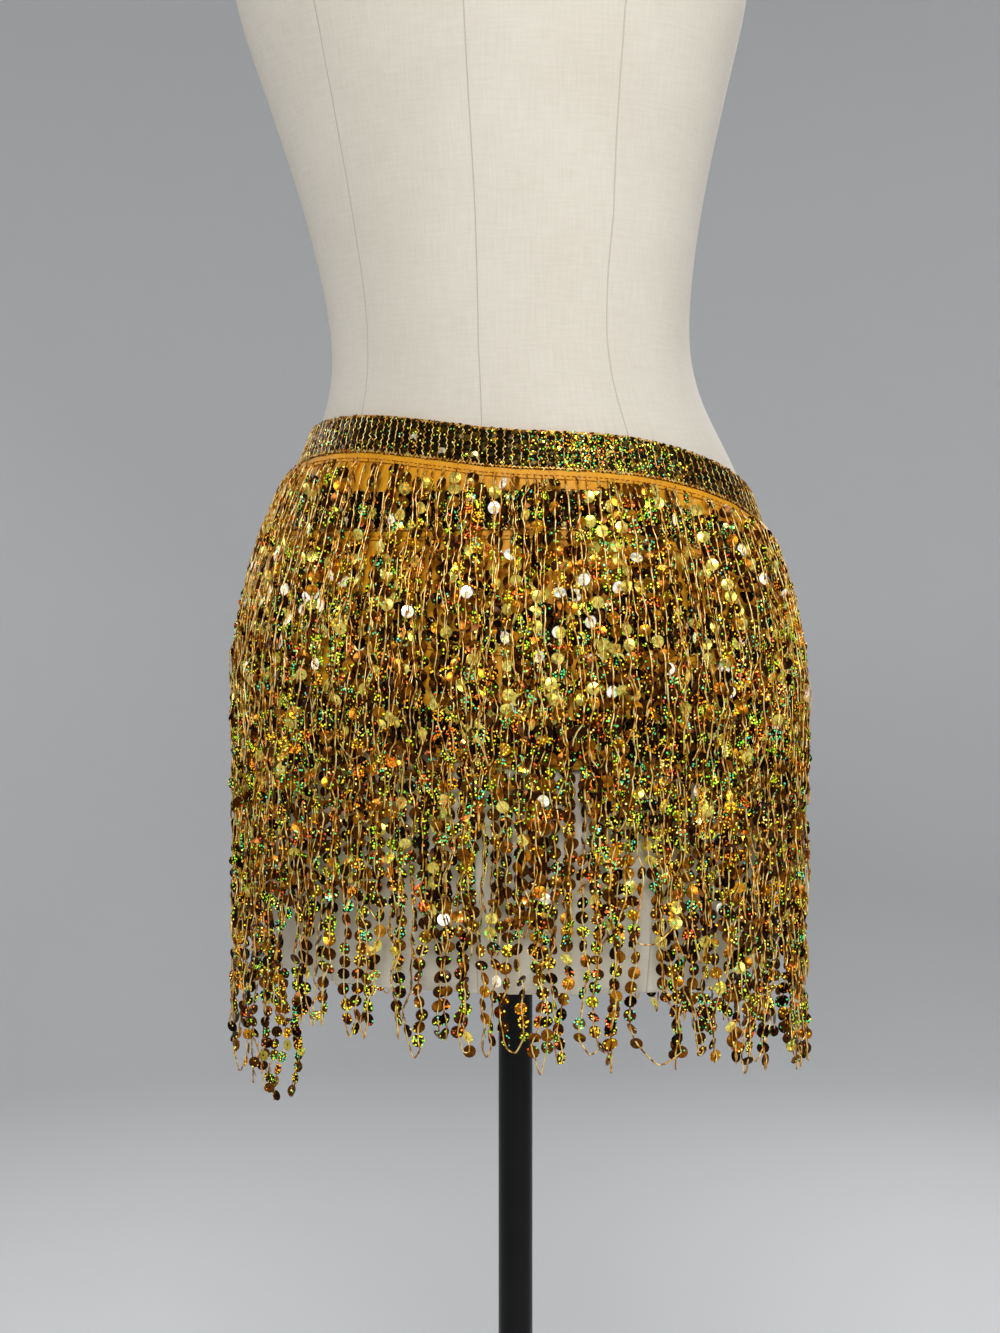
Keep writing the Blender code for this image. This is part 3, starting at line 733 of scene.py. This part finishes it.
band = {
    "columns": 240,
    "rows": 5,
    "edgeGap": 0.8 * mm,  # how far the backing stops short of the band's edges
    "endMargin": 0.7,  # degrees
    "sequin": 5.6 * mm,
    "columnPitch": 5.0 * mm,
    "rowPitch": 2.9 * mm,
    "cup": 0.35 * mm,
    "backingOffset": 3.3 * mm,
    "backingThickness": 0.6 * mm,
    "sequinOffset": 4.1 * mm,
    "shingle": 15,  # degrees that a sequin's upper rim stands out, over the one above
    "jitter": 7,
    "slip": (0.35 * mm, 0.25 * mm, 0.15 * mm),  # how far it strays along the band, up and out
    "threadRadius": 0.32 * mm,
    "threadLift": 0.8 * mm,
    "edgeRadius": 0.5 * mm,
    "edgeLift": 1.1 * mm,
    "overlockPitch": 1.15 * mm,
    "zigzag": 0.9 * mm,
    "margin": 1.6 * mm,
    "patchTurns": (12, 149, 238, 305),  # where the waistband flashes most
    "patchReach": 18,
    "patchShift": 23,  # how far round each lower band's patches are from those above
    "spark": (0.06, 0.60, 0.10),  # the share of dots that flash, how much more do in a patch, and its scatter
    "tone": (0.25, 0.25),  # how light the film is, and its scatter
    "highlightShare": 0.012,
}
bandSequin = modelSequin(10, band["sequin"], band["cup"])


def bandLine(number, turn, share):
    # a line along the band, from its lower edge at 0 to its upper edge at 1
    upper = wrap["showsAboveBand"] if number == 1 else band["edgeGap"]
    low = bandLow(number, turn) + band["edgeGap"]
    return low + (bandTop(number, turn) - upper - low) * share


def sewSequins(number, turns, shares, middle):
    turn, share = (grid.ravel() for grid in np.meshgrid(turns, shares, indexing="ij"))
    slipAlong, slipUp, slipOut = band["slip"]
    turn = turn + degreesOf(slipAlong, turn, middle) * dice.normal(size=turn.shape)
    level = bandLine(number, turn, share) + slipUp * dice.normal(size=turn.shape)
    normals = outwardAt(turn, level)
    centres = place(turn, level, band["sequinOffset"] + slipOut * dice.normal(size=turn.shape))
    up = np.broadcast_to((0.0, 0.0, 1.0), normals.shape)
    side = np.cross(up, normals)
    tilt = np.radians(band["shingle"] + band["jitter"] * dice.normal(size=turn.shape))[:, None]
    sway = np.radians(band["jitter"] * dice.normal(size=turn.shape))[:, None]
    facing = normals * np.cos(tilt) - up * np.sin(tilt) + side * np.sin(sway)
    facing /= np.linalg.norm(facing, axis=1, keepdims=True)
    # patches of the band catch the light more than others: painted highlights, with more of their dots
    # painted flashing
    shift = band["patchShift"] * (number - 1)
    patch = sum(np.exp(-((turn - patchTurn - shift) / band["patchReach"]) ** 2)
                for patchTurn in band["patchTurns"])
    least, inPatch, scatter = band["spark"]
    spark = np.clip(least + inPatch * patch + scatter * dice.normal(size=turn.shape), 0.03, 0.95)
    usual, scatter = band["tone"]
    tone = np.clip(usual + scatter * dice.normal(size=turn.shape), 0, 1)
    # a few discs are painted pale, as a highlight over the whole face where it catches the light
    faceHighlight = np.where(dice.random(turn.shape) < band["highlightShare"], dice.random(turn.shape), 0)
    sequins = spreadSequins(f"band_{number}_sequins", bandSequin, band["sequin"], centres, facing,
                            up.copy(), np.stack((spark, tone, faceHighlight), axis=1))
    return finishPiece(sequins, bandSequinFilm)


def sewColumns(number, turns, perColumn, middle):
    # a zigzag of thread between the columns of sequins
    paths = []
    stitches = np.linspace(0, 1, 2 * perColumn)
    ways = np.where(np.arange(len(stitches)) % 2, 0.6, -0.6)
    for column in (turns[:-1] + turns[1:]) / 2:
        swing = degreesOf(band["zigzag"], column, middle) * ways
        swing = swing * (1 + 0.5 * dice.normal(size=len(stitches)))
        lift = band["sequinOffset"] + band["threadLift"]
        paths.append(place(column + swing, bandLine(number, column, stitches), lift))
    sewing = spinThreads(f"band_{number}_sewing", paths, band["threadRadius"])
    return finishPiece(sewing, lurex)


def sewEdges(number, middle):
    # an overlock along both edges, each with a straighter thread in it
    edges = []
    fine = evenTurns(band["overlockPitch"], wrapStart, wrapEnd, middle)
    ways = np.where(np.arange(len(fine)) % 2, 1.0, -1.0)
    for share, reach in ((0.0, 1.0), (1.0, 1.0), (0.0, 0.25), (1.0, 0.25)):
        swing = reach * band["zigzag"] * ways * (1 + 0.25 * dice.normal(size=len(fine)))
        lift = band["backingOffset"] + band["edgeLift"] + 0.2 * mm * ways
        edges.append(place(fine, bandLine(number, fine, share) + swing, lift))
    edging = spinThreads(f"band_{number}_edging", edges, band["edgeRadius"])
    return finishPiece(edging, lurex)


def makeBand(number):
    backing = layCloth(f"band_{number}_backing", band["columns"], band["rows"], (wrapStart, wrapEnd),
                       lambda turn, down: bandLine(number, turn, 1 - down),
                       lambda turn, level, down: np.full(turn.shape, band["backingOffset"]),
                       band["backingThickness"])
    finishPiece(backing, stripCloth, [f"sequin_band_{number}"])
    middle = float(bandLow(number, readTurn))
    margin = band["endMargin"]
    turns = evenTurns(band["columnPitch"], wrapStart + margin, wrapEnd - margin, middle)
    height = float(np.mean(bandLine(number, turns, 1) - bandLine(number, turns, 0)))
    perColumn = int((height - 2 * band["margin"]) / band["rowPitch"]) + 1
    shares = np.linspace(band["margin"] / height, 1 - band["margin"] / height, perColumn)
    sequins = sewSequins(number, turns, shares, middle)
    sewing = sewColumns(number, turns, perColumn, middle)
    edging = sewEdges(number, middle)
    return backing, [sequins, sewing, edging], height


for number in (1, 2, 3, 4):
    makeBand(number)


# the fringe

fringe = {
    "spacing": 6.7 * mm,
    "spacingScatter": 0.12,  # as a share of the spacing
    "stagger": 0.25,  # how far the rows are shifted either way, as a share of the spacing
    "endMargin": 1.2,  # degrees
    "sequin": 7.6 * mm,
    "cup": 0.55 * mm,
    "pitch": 8.2 * mm,
    "pitches": (0.93, 1.07),  # least and most of the pitch on a strand
    "steps": (0.84, 1.16),  # and of each step on it
    "first": 3 * mm,
    "bareMost": 5 * mm,  # a third of the strands show bare thread first, up to this
    "bareShare": 0.34,
    "length": 164 * mm,
    "uneven": 5 * mm,
    "tornShare": 0.02,
    "torn": (0.7, 0.92),  # what is left of a torn strand
    "looseExtra": (20 * mm, 24 * mm, 38 * mm, 68 * mm),  # how much longer each row hangs at the loose end
    "looseTurn": 15,
    "looseReach": 21,
    "rootOffset": 4.6 * mm,
    "offset": 6.6 * mm,
    "stepOut": 6 * mm,  # how far down a strand has come out over the next band
    "lift": 0.6 * mm,
    "leanOut": 0.045,
    "bulge": (3.0 * mm, 1.6 * mm, 0, 0),  # how far the rows on top stand out midway down
    "wander": (0.6 * mm, 2.6 * mm, 90 * mm),  # sideways at the top, how much more at the end, and its wave
    "depth": (0.3 * mm, 1.3 * mm, 70 * mm),  # the same in and out
    "clumpStarts": 0.36,  # how often a strand starts a new clump, of two to four as a rule
    "clump": 1.6 * mm,  # how far a clump's ends draw together, for each place between them
    "stray": 1.9 * mm,
    "pairShare": 0.7,
    "pairPull": 0.26,  # how far a pair's ends draw together, as a share of the spacing
    "tangledShare": 0.07,
    "tangledStray": 9 * mm,
    "edgeways": (0, 0, 0, -60, 60),  # two strands in five hang edge on at the top
    "twist": 24,  # degrees that a strand is turned at its top
    "twistFades": 0.65,  # how much of that is gone at its end
    "twistWaver": 44,  # degrees that it turns either way lower down
    "twistWave": 75 * mm,
    "twistScatter": 10,
    "nod": (8, 13),  # degrees that a sequin faces down, and their scatter
    "threadRadius": 0.58 * mm,
    "threadLift": 0.95 * mm,
    "threadStray": 0.25 * mm,
    "secondShare": 0.4,  # so many strands have a second thread lying over them
    "secondRadius": 0.464 * mm,
    "secondLift": 2.6 * mm,
    "secondSway": 1.9 * mm,
    "secondWave": 52 * mm,
    "secondEnds": (0.5, 0.9),  # how far down it stops
    "loopDip": 8 * mm,
    "loopDips": (0.6, 1.3),
    "loopWidest": 30 * mm,
    "openShare": 0.15,  # so many pairs end in no loop
    "pressedReach": 9,  # degrees from the opening within which the knot's tails press the strands flat
    "pressedTwist": 0.3,
    "tailTop": 0.925,  # the level of the tails' top, their inner side there, and how it leans out below
    "tailLift": 1.4 * mm,
    "tailLean": 0.062,
    "lampLevel": 0.875,  # the hips' upper side faces the lamps, and its sequins are painted with more highlights
    "lampReach": 0.055,
    "sparkling": (0.16, 0.34),  # the share of sequins that flash, and how much more do in a shimmer
    "spark": (0.4, 1.0),  # the share of dots that flash on these
    "dull": (0.02, 0.30),  # and on the others
    "tone": (0.46, 0.16, 0.28),  # how light the film is, how much painted shade darkens it towards the ends, and its scatter
    "faceHighlight": (0.03, 0.05, 0.19),  # the share painted as lit whole, more in a shimmer, and more facing the lamps
    "highlightTone": (0.2, 0.4),
    "highlightFront": 0.72,  # how squarely such a sequin faces outward
    "whiteHighlight": (0.06, 0.30),  # the share of those painted nearly white, and more facing the lamps
}
fringeSequin = modelSequin(12, fringe["sequin"], fringe["cup"])


def waver(distance, longest, phases):
    # a smooth wander of about 1 either way
    waves = (longest, longest / 2.3, longest / 4.1)
    return sum(np.sin(2 * np.pi * distance / wave + phase) / (1 + i)
               for i, (wave, phase) in enumerate(zip(waves, phases))) / 1.4


def spaceStrands(row):
    # the turn at which each strand hangs, and how far aside its end is drawn
    margin = fringe["endMargin"]
    turns = evenTurns(fringe["spacing"], wrapStart + margin, wrapEnd - margin, hipLevel)
    shift = fringe["stagger"] if row % 2 else -fringe["stagger"]
    turns = turns + shift * degreesOf(fringe["spacing"], turns, hipLevel)
    scatter = fringe["spacingScatter"] * degreesOf(fringe["spacing"], turns, hipLevel)
    turns = turns + scatter * dice.normal(size=len(turns))
    count = len(turns)
    clumps = np.cumsum(dice.random(count) < fringe["clumpStarts"])
    places = np.arange(count, dtype=float)
    centres = np.array([places[clumps == clump].mean() for clump in clumps])
    asides = (centres - places) * fringe["clump"] + fringe["stray"] * dice.normal(size=count)
    drawn = np.repeat(dice.random(count // 2 + 1) < fringe["pairShare"], 2)[:count]
    ways = np.where(places % 2 == 0, 1.0, -1.0)
    asides = asides + ways * drawn * fringe["spacing"] * fringe["pairPull"]
    tangled = dice.random(count) < fringe["tangledShare"]
    asides = np.where(tangled, asides + fringe["tangledStray"] * dice.normal(size=count), asides)
    return turns, asides


def strandLength(row, turn):
    length = fringe["length"] + fringe["uneven"] * dice.normal()
    loose = max(0.0, 1 - abs(turn - fringe["looseTurn"]) / fringe["looseReach"])
    length += fringe["looseExtra"][row - 1] * loose ** 0.5 * dice.uniform(0.7, 1.0)
    if dice.random() < fringe["tornShare"]:
        length *= dice.uniform(*fringe["torn"])
    return length


def hangStrand(row, turn, length, aside):
    # the points down one strand's middle, half a sequin's pitch apart, with how far down each one is
    root = float(bandLow(row, turn)) - fringeStrip["height"]
    pitch = fringe["pitch"] * dice.uniform(*fringe["pitches"])
    steps = pitch / 2 * dice.uniform(*fringe["steps"], int(2.5 * length / pitch))
    steps[0] *= dice.uniform(0.3, 1.5)
    down = np.concatenate(([0], np.cumsum(steps)))
    down = down[down < length]
    share = down / fringe["length"]
    phases = dice.uniform(0, 2 * np.pi, 6)
    least, more, wave = fringe["wander"]
    wander = (least + more * share ** 1.4) * waver(down, wave, phases[:3])
    least, more, wave = fringe["depth"]
    depth = (least + more * share) * waver(down, wave, phases[3:])
    level = root - down
    settled = np.clip(down / fringe["stepOut"], 0, 1)
    offset = fringe["rootOffset"] + (fringe["offset"] - fringe["rootOffset"]) * settled
    offset = offset + fringe["leanOut"] * down + depth + fringe["lift"]
    offset = offset + fringe["bulge"][row - 1] * np.sin(np.pi * np.clip(share, 0, 1))
    shift = degreesOf(1.0, turn, hipLevel) * (wander + aside * share ** 1.5)
    return turn + shift, level, offset, down


def twistStrand(share, down, pressed):
    # how far the strand is turned about itself at each point, in radians
    start = fringe["twist"] * dice.normal() + dice.choice(fringe["edgeways"])
    waving = fringe["twistWaver"] * share ** 0.5 * waver(down, fringe["twistWave"], dice.uniform(0, 6, 3))
    twist = start * (1 - fringe["twistFades"] * share) + waving
    twist = np.radians(twist + fringe["twistScatter"] * dice.normal(size=len(down)))
    return twist * (fringe["pressedTwist"] if pressed else 1)


def lightSequins(row, turn, down, level, share, frontness):
    # how much of each sequin flashes as a painted glint, how light its film is, with painted shade towards
    # the ends, and how strong the painted highlight is when its whole face is lit
    count = len(down)
    shimmer = 0.5 + 0.5 * np.sin(turn / 9 + row * 1.7 + down * 38)  # slow waves of painted glints and highlights round the belt and down it
    lamplit = np.exp(-((level - fringe["lampLevel"]) / fringe["lampReach"]) ** 2)
    least, more = fringe["sparkling"]
    sparkling = dice.random(count) < least + more * shimmer
    spark = np.where(sparkling, dice.uniform(*fringe["spark"], count), dice.uniform(*fringe["dull"], count))
    usual, endShade, scatter = fringe["tone"]
    # the film is painted darker towards the strands' ends, as shade over the lower fringe
    tone = np.clip(usual - endShade * share + scatter * dice.normal(size=count), 0, 1)
    least, more, most = fringe["faceHighlight"]
    # discs facing outward are painted pale as whole-face highlights, more of them in a shimmer and at the
    # level facing the lamps
    isHighlit = dice.random(count) < least + more * shimmer + most * lamplit
    isHighlit = isHighlit & (frontness > fringe["highlightFront"])
    least, more = fringe["highlightTone"]
    faceHighlight = np.where(isHighlit, least + more * dice.random(count), 0)
    least, most = fringe["whiteHighlight"]
    faceHighlight = np.where(isHighlit & (dice.random(count) < least + most * lamplit), 1.0, faceHighlight)
    spark = np.where(isHighlit, spark * 0.5, spark)
    return np.stack((spark, tone, faceHighlight), axis=1)


def makeStrand(row, turn, aside):
    length = strandLength(row, turn)
    lineTurn, level, offset, down = hangStrand(row, turn, length, aside)
    pressed = min(turn, 360 - turn) < fringe["pressedReach"]
    if pressed:
        tailInner = fringe["rootOffset"] + fringe["tailLift"]
        tailInner = tailInner + fringe["tailLean"] * np.maximum(fringe["tailTop"] - level, 0)
        offset = np.minimum(offset, tailInner)
    line = place(lineTurn, level, offset)
    out = outwardAt(lineTurn, level)
    rise = -np.gradient(line, axis=0)
    rise /= np.linalg.norm(rise, axis=1, keepdims=True)
    side = np.cross(rise, out)
    side /= np.linalg.norm(side, axis=1, keepdims=True)
    out = np.cross(side, rise)
    share = np.clip(down / length, 0, 1)
    twist = twistStrand(share, down, pressed)
    facing = out * np.cos(twist)[:, None] + side * np.sin(twist)[:, None]
    stray = fringe["threadStray"] * dice.normal(size=(len(line), 1))
    thread = line + facing * fringe["threadLift"] + side * stray
    seconds = []
    if dice.random() < fringe["secondShare"] and not pressed:
        sway = fringe["secondSway"] * waver(down, fringe["secondWave"], dice.uniform(0, 6, 3))
        sway = sway + fringe["threadStray"] * dice.normal(size=len(down))
        second = line + out * fringe["secondLift"] + side * sway[:, None]
        seconds = [second[share < dice.uniform(*fringe["secondEnds"])]]
    # a sequin at every other point
    sewn = np.arange(1, len(down), 2)
    bare = fringe["bareMost"] * dice.random() * (dice.random() < fringe["bareShare"])
    sewn = sewn[down[sewn] > fringe["first"] + bare]
    usual, scatter = fringe["nod"]
    nod = np.radians(usual + scatter * dice.normal(size=len(sewn)))[:, None]
    lean = facing[sewn] * np.cos(nod) - rise[sewn] * np.sin(nod)
    frontness = np.abs((lean * out[sewn]).sum(axis=1))
    looks = lightSequins(row, turn, down[sewn], level[sewn], share[sewn], frontness)
    return (line[sewn], lean, rise[sewn], looks), thread, seconds


def loopThreads(threads):
    # the thread of one strand loops under into the next one's
    paths = []
    for near, far in zip(threads[0::2], threads[1::2]):
        dip = fringe["loopDip"] * dice.uniform(*fringe["loopDips"])
        if np.linalg.norm(near[-1] - far[-1]) > fringe["loopWidest"] or dice.random() < fringe["openShare"]:
            paths += [near, far]
            continue
        share = np.linspace(0, 1, 9)[1:-1, None]
        bow = near[-1] * (1 - share) + far[-1] * share
        drop = dip * (1 - np.abs(2 * share - 1) ** 1.4)
        paths.append(np.concatenate((near, bow - drop * (0, 0, 1), far[::-1])))
    if len(threads) % 2:
        paths.append(threads[-1])
    return paths


def sewTape(row):
    # the tape that the strands hang from, and the stitches that hold it
    tape = layCloth(f"fringe_{row}_tape", fringeStrip["columns"], fringeStrip["rows"], (wrapStart, wrapEnd),
                    lambda turn, down: bandLow(row, turn) - fringeStrip["gap"] - down * fringeStrip["height"],
                    lambda turn, level, down:
                    fringeStrip["offset"] + fringeStrip["ripple"] * np.sin(np.radians(turn * 37)),
                    fringeStrip["thickness"])
    finishPiece(tape, tapeCloth)
    tapeLevel = float(bandLow(row, readTurn)) - 10 * mm
    margin = fringeStrip["endMargin"]
    paths = []
    for start in evenTurns(fringeStrip["stitchPitch"], wrapStart + margin, wrapEnd - margin, tapeLevel):
        ends = start + degreesOf(fringeStrip["stitch"], start, hipLevel) * np.array((0, 0.25, 0.75, 1))
        lift = fringeStrip["offset"] + np.array((0.3, 0.8, 0.8, 0.3)) * mm
        paths.append(place(ends, bandLow(row, ends) - fringeStrip["stitchDown"], lift))
    stitching = spinThreads(f"fringe_{row}_stitches", paths, fringeStrip["stitchRadius"])
    finishPiece(stitching, stitchThread)
    return tape, stitching


def makeFringe(row):
    discs, threads, seconds = [], [], []
    for turn, aside in zip(*spaceStrands(row)):
        sewn, thread, second = makeStrand(row, turn, aside)
        discs.append(sewn)
        threads.append(thread)
        seconds += second
    sequins = spreadSequins(f"fringe_{row}_sequins", fringeSequin, fringe["sequin"],
                            *(np.concatenate(values) for values in zip(*discs)))
    finishPiece(sequins, fringeSequinFilm, [f"fringe_{row}"])
    strung = spinThreads(f"fringe_{row}_thread", loopThreads(threads), fringe["threadRadius"])
    finishPiece(strung, lurex)
    lying = spinThreads(f"fringe_{row}_lurex", seconds, fringe["secondRadius"])
    finishPiece(lying, lurex)
    tape, stitching = sewTape(row)
    print("fringe", row, "made,", len(sequins.data.polygons), "sequin faces,",
          len(strung.data.polygons) + len(lying.data.polygons), "thread faces")
    return [tape, stitching, strung, lying, sequins]


fringes = {row: makeFringe(row) for row in (1, 2, 3, 4)}


# the ties, their knot and its tails

tie = {
    "width": 12 * mm,
    "thickness": 1.2 * mm,
    "subdivisions": 3,
    "ripple": 0.45 * mm,
    "edgeCrease": 0.9,
    "knotFolds": 0.07,  # how deep the knot's folds are, as a share of its size
    "nodes": ("tie_start", "tie_end", "tie_tail_1", "tie_tail_2"),
}


def makeRibbon(node):
    ribbon = copyOfNode(node, node + "_ribbon")
    selectOnly(ribbon)
    bpy.ops.object.mode_set(mode="EDIT")
    bpy.ops.mesh.select_mode(type="EDGE")
    bpy.ops.mesh.select_all(action="DESELECT")
    bpy.ops.mesh.edges_select_sharp(sharpness=math.radians(50))
    bpy.ops.transform.edge_crease(value=tie["edgeCrease"])
    leaveEdit()
    applyModifier(ribbon, "SUBSURF", levels=tie["subdivisions"], render_levels=tie["subdivisions"])
    # slack ripples across and along the ribbon
    points = pointsOf(ribbon.data)
    out = points * (1, 1, 0)
    out /= np.linalg.norm(out, axis=1, keepdims=True)
    wave = np.sin(points[:, 2] * 420 + points[:, 0] * 300) * np.sin(points[:, 2] * 170 + points[:, 1] * 500)
    movePoints(ribbon, points + out * (tie["ripple"] * wave)[:, None])
    smooth(ribbon, 60)
    finishPiece(ribbon, goldCloth, [node])
    return ribbon


def makeKnot():
    knot = copyOfNode("tie_knot", "tie_knot_folds")
    applyModifier(knot, "SUBSURF", levels=2, render_levels=2)
    points = pointsOf(knot.data)
    low, high = (np.array(corner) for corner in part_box("tie_knot"))
    middle = (low + high) / 2
    local = points - middle
    # folds of the ribbon run across the knot
    fold = np.sin(local[:, 2] * 900 + local[:, 0] * 260 + np.sin(local[:, 1] * 500))
    movePoints(knot, middle + local * (1 + tie["knotFolds"] * fold)[:, None])
    smooth(knot, 70)
    finishPiece(knot, goldCloth, ["tie_knot"])
    return knot


ribbons = {node: makeRibbon(node) for node in tie["nodes"]}
knot = makeKnot()
print("ties made")


# the stand and the cap

stand = {
    "sides": 128,
    "poleSides": 64,
    "plate": 12 * mm,
    "foot": 1.2 * mm,
    "rimDrop": 1.5 * mm,  # how much lower the plate's rim is than its middle
    "rimRound": 3.5 * mm,
    "dish": 0.8 * mm,
    "socket": 24 * mm,
    "socketRound": 3 * mm,
    "skirt": (10 * mm, 8 * mm),  # how far the socket's foot spreads, and how high it climbs
    "mouth": 13.5 * mm,
    "poleEdge": 0.8 * mm,
}
cap = {
    "sides": 96,
    "foot": 0.6 * mm,
    "rimLevel": 2.4 * mm,
    "rimRound": 2.6 * mm,
    # radius as a share of the cap's, and the height above its foot
    "crown": ((0.80, 8.6 * mm), (0.55, 12.2 * mm), (0.30, 14.0 * mm)),
    "knob": 11 * mm,
    # radius as a share of the knob's, and the same height
    "neck": ((0.62, 15.2 * mm), (0.56, 16.6 * mm)),
    "ball": 7.6 * mm,
}


def turnPiece(name, profile, middle, sides):
    # a turned piece, drawn up from its foot: each step extrudes the top face and scales it
    deselectAll()
    radius, level = profile[0]
    bpy.ops.mesh.primitive_circle_add(vertices=sides, radius=radius, fill_type="NGON",
                                      location=(middle[0], middle[1], level))
    piece = bpy.context.object
    piece.name = name
    piece.data.name = name
    bpy.ops.object.mode_set(mode="EDIT")
    bpy.ops.mesh.select_mode(type="FACE")
    for nextRadius, nextLevel in profile[1:]:
        bpy.ops.mesh.extrude_region_move(TRANSFORM_OT_translate={"value": (0, 0, nextLevel - level)})
        grow = nextRadius / radius
        bpy.ops.transform.resize(value=(grow, grow, 1), center_override=(middle[0], middle[1], nextLevel))
        radius, level = nextRadius, nextLevel
    bpy.ops.mesh.select_all(action="SELECT")
    bpy.ops.mesh.normals_make_consistent(inside=False)
    leaveEdit()
    applyPlace(piece)
    smooth(piece, 30)
    return piece


def arcSteps(middleRadius, middleLevel, size, start, end, count=7):
    # points of a round edge, between two angles up from level
    turns = np.radians(np.linspace(start, end, count))
    return [(middleRadius + size * math.cos(turn), middleLevel + size * math.sin(turn)) for turn in turns]


def makeStand():
    low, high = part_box("stand_base")
    radius, plate, foot, edge = high[0], stand["plate"], stand["foot"], stand["rimRound"]
    socket, socketRound = stand["socket"], stand["socketRound"]
    spread, climb = stand["skirt"]
    profile = [(radius - foot, low[2]), (radius, low[2] + foot)]
    profile += arcSteps(radius - edge, plate - stand["rimDrop"] - edge, edge, 0, 84)
    profile += [(0.6 * radius, plate - stand["dish"]), (socket + spread, plate)]
    profile += [(socket + spread * (1 - s), plate + climb * (1 - math.cos(s * math.pi / 2)))
                for s in np.linspace(0.15, 0.98, 8)]
    profile += arcSteps(socket - socketRound, high[2] - socketRound, socketRound, 0, 84)
    profile += [(stand["mouth"], high[2]), (2 * mm, high[2])]
    base = turnPiece("stand_base_plate", profile, (0, 0), stand["sides"])
    finishPiece(base, powderCoat, ["stand_base"])
    low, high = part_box("stand_pole")
    radius, edge = high[0], stand["poleEdge"]
    profile = [(radius, low[2]), (radius, (low[2] + high[2]) / 2)]
    profile += [(radius, high[2] - edge), (radius - edge, high[2])]
    pole = turnPiece("stand_pole_tube", profile, (0, 0), stand["poleSides"])
    finishPiece(pole, powderCoat, ["stand_pole"])


def makeCap():
    low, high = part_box("neck_cap")
    middle = ((low[0] + high[0]) / 2, (low[1] + high[1]) / 2)
    radius, foot, edge, ball = (high[0] - low[0]) / 2, cap["foot"], cap["rimRound"], cap["ball"]
    profile = [(radius - foot, low[2]), (radius, low[2] + foot)]
    profile += arcSteps(radius - edge, low[2] + cap["rimLevel"], edge, 0, 70)
    profile += [(share * radius, low[2] + height) for share, height in cap["crown"]]
    profile += [(share * cap["knob"], low[2] + height) for share, height in cap["neck"]]
    profile += arcSteps(0, high[2] - ball, ball, -38, 88, 12)
    turned = turnPiece("neck_cap_turned", profile, middle, cap["sides"])
    finishPiece(turned, stainedWood, ["neck_cap"])


makeStand()
makeCap()
print("stand and cap made")


# stage, lights and camera

studio = {
    "floorLevel": -0.2 * mm,
    "floorRadius": 2.6,
    "wallRound": 1.0,
    "wallTop": 3.4,
    "colour": "#E8E9EA",
    "cameraTurn": 12,
    "cameraAway": 1.2,
    "cameraAside": -0.01005,
    "cameraLevel": 0.833,
    "focal": 50,
    "worldColour": "#D8DADD",
    "worldStrength": 0.14,
    # place, what it points at, size and power of each soft box
    "lamps": (
        ((0.4, -2.2, 2.1), (0, 0, 0.95), 0.8, 38),
        ((2.0, -1.1, 1.4), (0, 0, 0.85), 0.9, 11),
        ((0.6, 2.0, 2.2), (0, 0, 0.95), 1.0, 26),
        ((-2.0, 0.6, 1.4), (0, 0, 0.85), 0.9, 8),
    ),
}


def makePaper():
    material, tree, shader, place = startMaterial("studio_paper")
    grain = addNode(tree, "TexNoise", {"Vector": place, "Scale": 1 / (5 * mm), "Detail": 3.0})
    bump = addNode(tree, "Bump", {"Height": grain.outputs["Fac"], "Strength": 0.05, "Distance": 0.2 * mm})
    tree.links.new(bump.outputs["Normal"], shader.inputs["Normal"])
    shader.inputs["Base Color"].default_value = linearColour(studio["colour"])
    shader.inputs["Roughness"].default_value = 0.9
    return material


def makeStage():
    # a round paper sweep: floor, curve and wall all round
    floor, bend, top = studio["floorRadius"], studio["wallRound"], studio["wallTop"]
    deselectAll()
    bpy.ops.mesh.primitive_circle_add(vertices=96, radius=floor, fill_type="NGON",
                                      location=(0, 0, studio["floorLevel"]))
    sweep = bpy.context.object
    sweep.name = "paper_sweep"
    bpy.ops.object.mode_set(mode="EDIT")
    bpy.ops.mesh.select_mode(type="EDGE")
    bpy.ops.mesh.select_all(action="SELECT")
    bpy.ops.mesh.region_to_loop()
    steps = [(floor + bend * math.sin(turn), bend * (1 - math.cos(turn)))
             for turn in np.radians(np.linspace(7.5, 90, 12))] + [(floor + bend, top)]
    radius, level = floor, 0.0
    for nextRadius, nextLevel in steps:
        bpy.ops.mesh.extrude_region_move(TRANSFORM_OT_translate={"value": (0, 0, nextLevel - level)})
        grow = nextRadius / radius
        bpy.ops.transform.resize(value=(grow, grow, 1), center_override=(0, 0, nextLevel))
        radius, level = nextRadius, nextLevel
    leaveEdit()
    applyPlace(sweep)
    smooth(sweep, 40)
    sweep.data.materials.append(makePaper())


def makeLights():
    for index, (spot, target, size, power) in enumerate(studio["lamps"]):
        light = bpy.data.lights.new(f"soft_box_{index + 1}", "AREA")
        light.size = size
        light.energy = power
        lamp = bpy.data.objects.new(light.name, light)
        lamp.location = spot
        lamp.rotation_euler = (Vector(target) - Vector(spot)).to_track_quat("-Z", "Y").to_euler()
        bpy.context.scene.collection.objects.link(lamp)
    world = bpy.data.worlds.new("studio_air")
    bpy.context.scene.world = world
    world.use_nodes = True
    air = world.node_tree.nodes["Background"]
    air.inputs["Color"].default_value = linearColour(studio["worldColour"])
    air.inputs["Strength"].default_value = studio["worldStrength"]


def makeCamera():
    turn = math.radians(studio["cameraTurn"])
    away, aside = studio["cameraAway"], studio["cameraAside"]
    lens = bpy.data.cameras.new("camera")
    lens.lens = studio["focal"]
    camera = bpy.data.objects.new("camera", lens)
    camera.location = (away * math.sin(turn) + aside * math.cos(turn),
                       -away * math.cos(turn) + aside * math.sin(turn), studio["cameraLevel"])
    camera.rotation_euler = (math.radians(90), 0, turn)
    bpy.context.scene.collection.objects.link(camera)
    bpy.context.scene.camera = camera
    bpy.context.scene.view_settings.view_transform = "Standard"  # leaves the golds as saturated as they are


makeStage()
makeLights()
makeCamera()

print("scene ready")
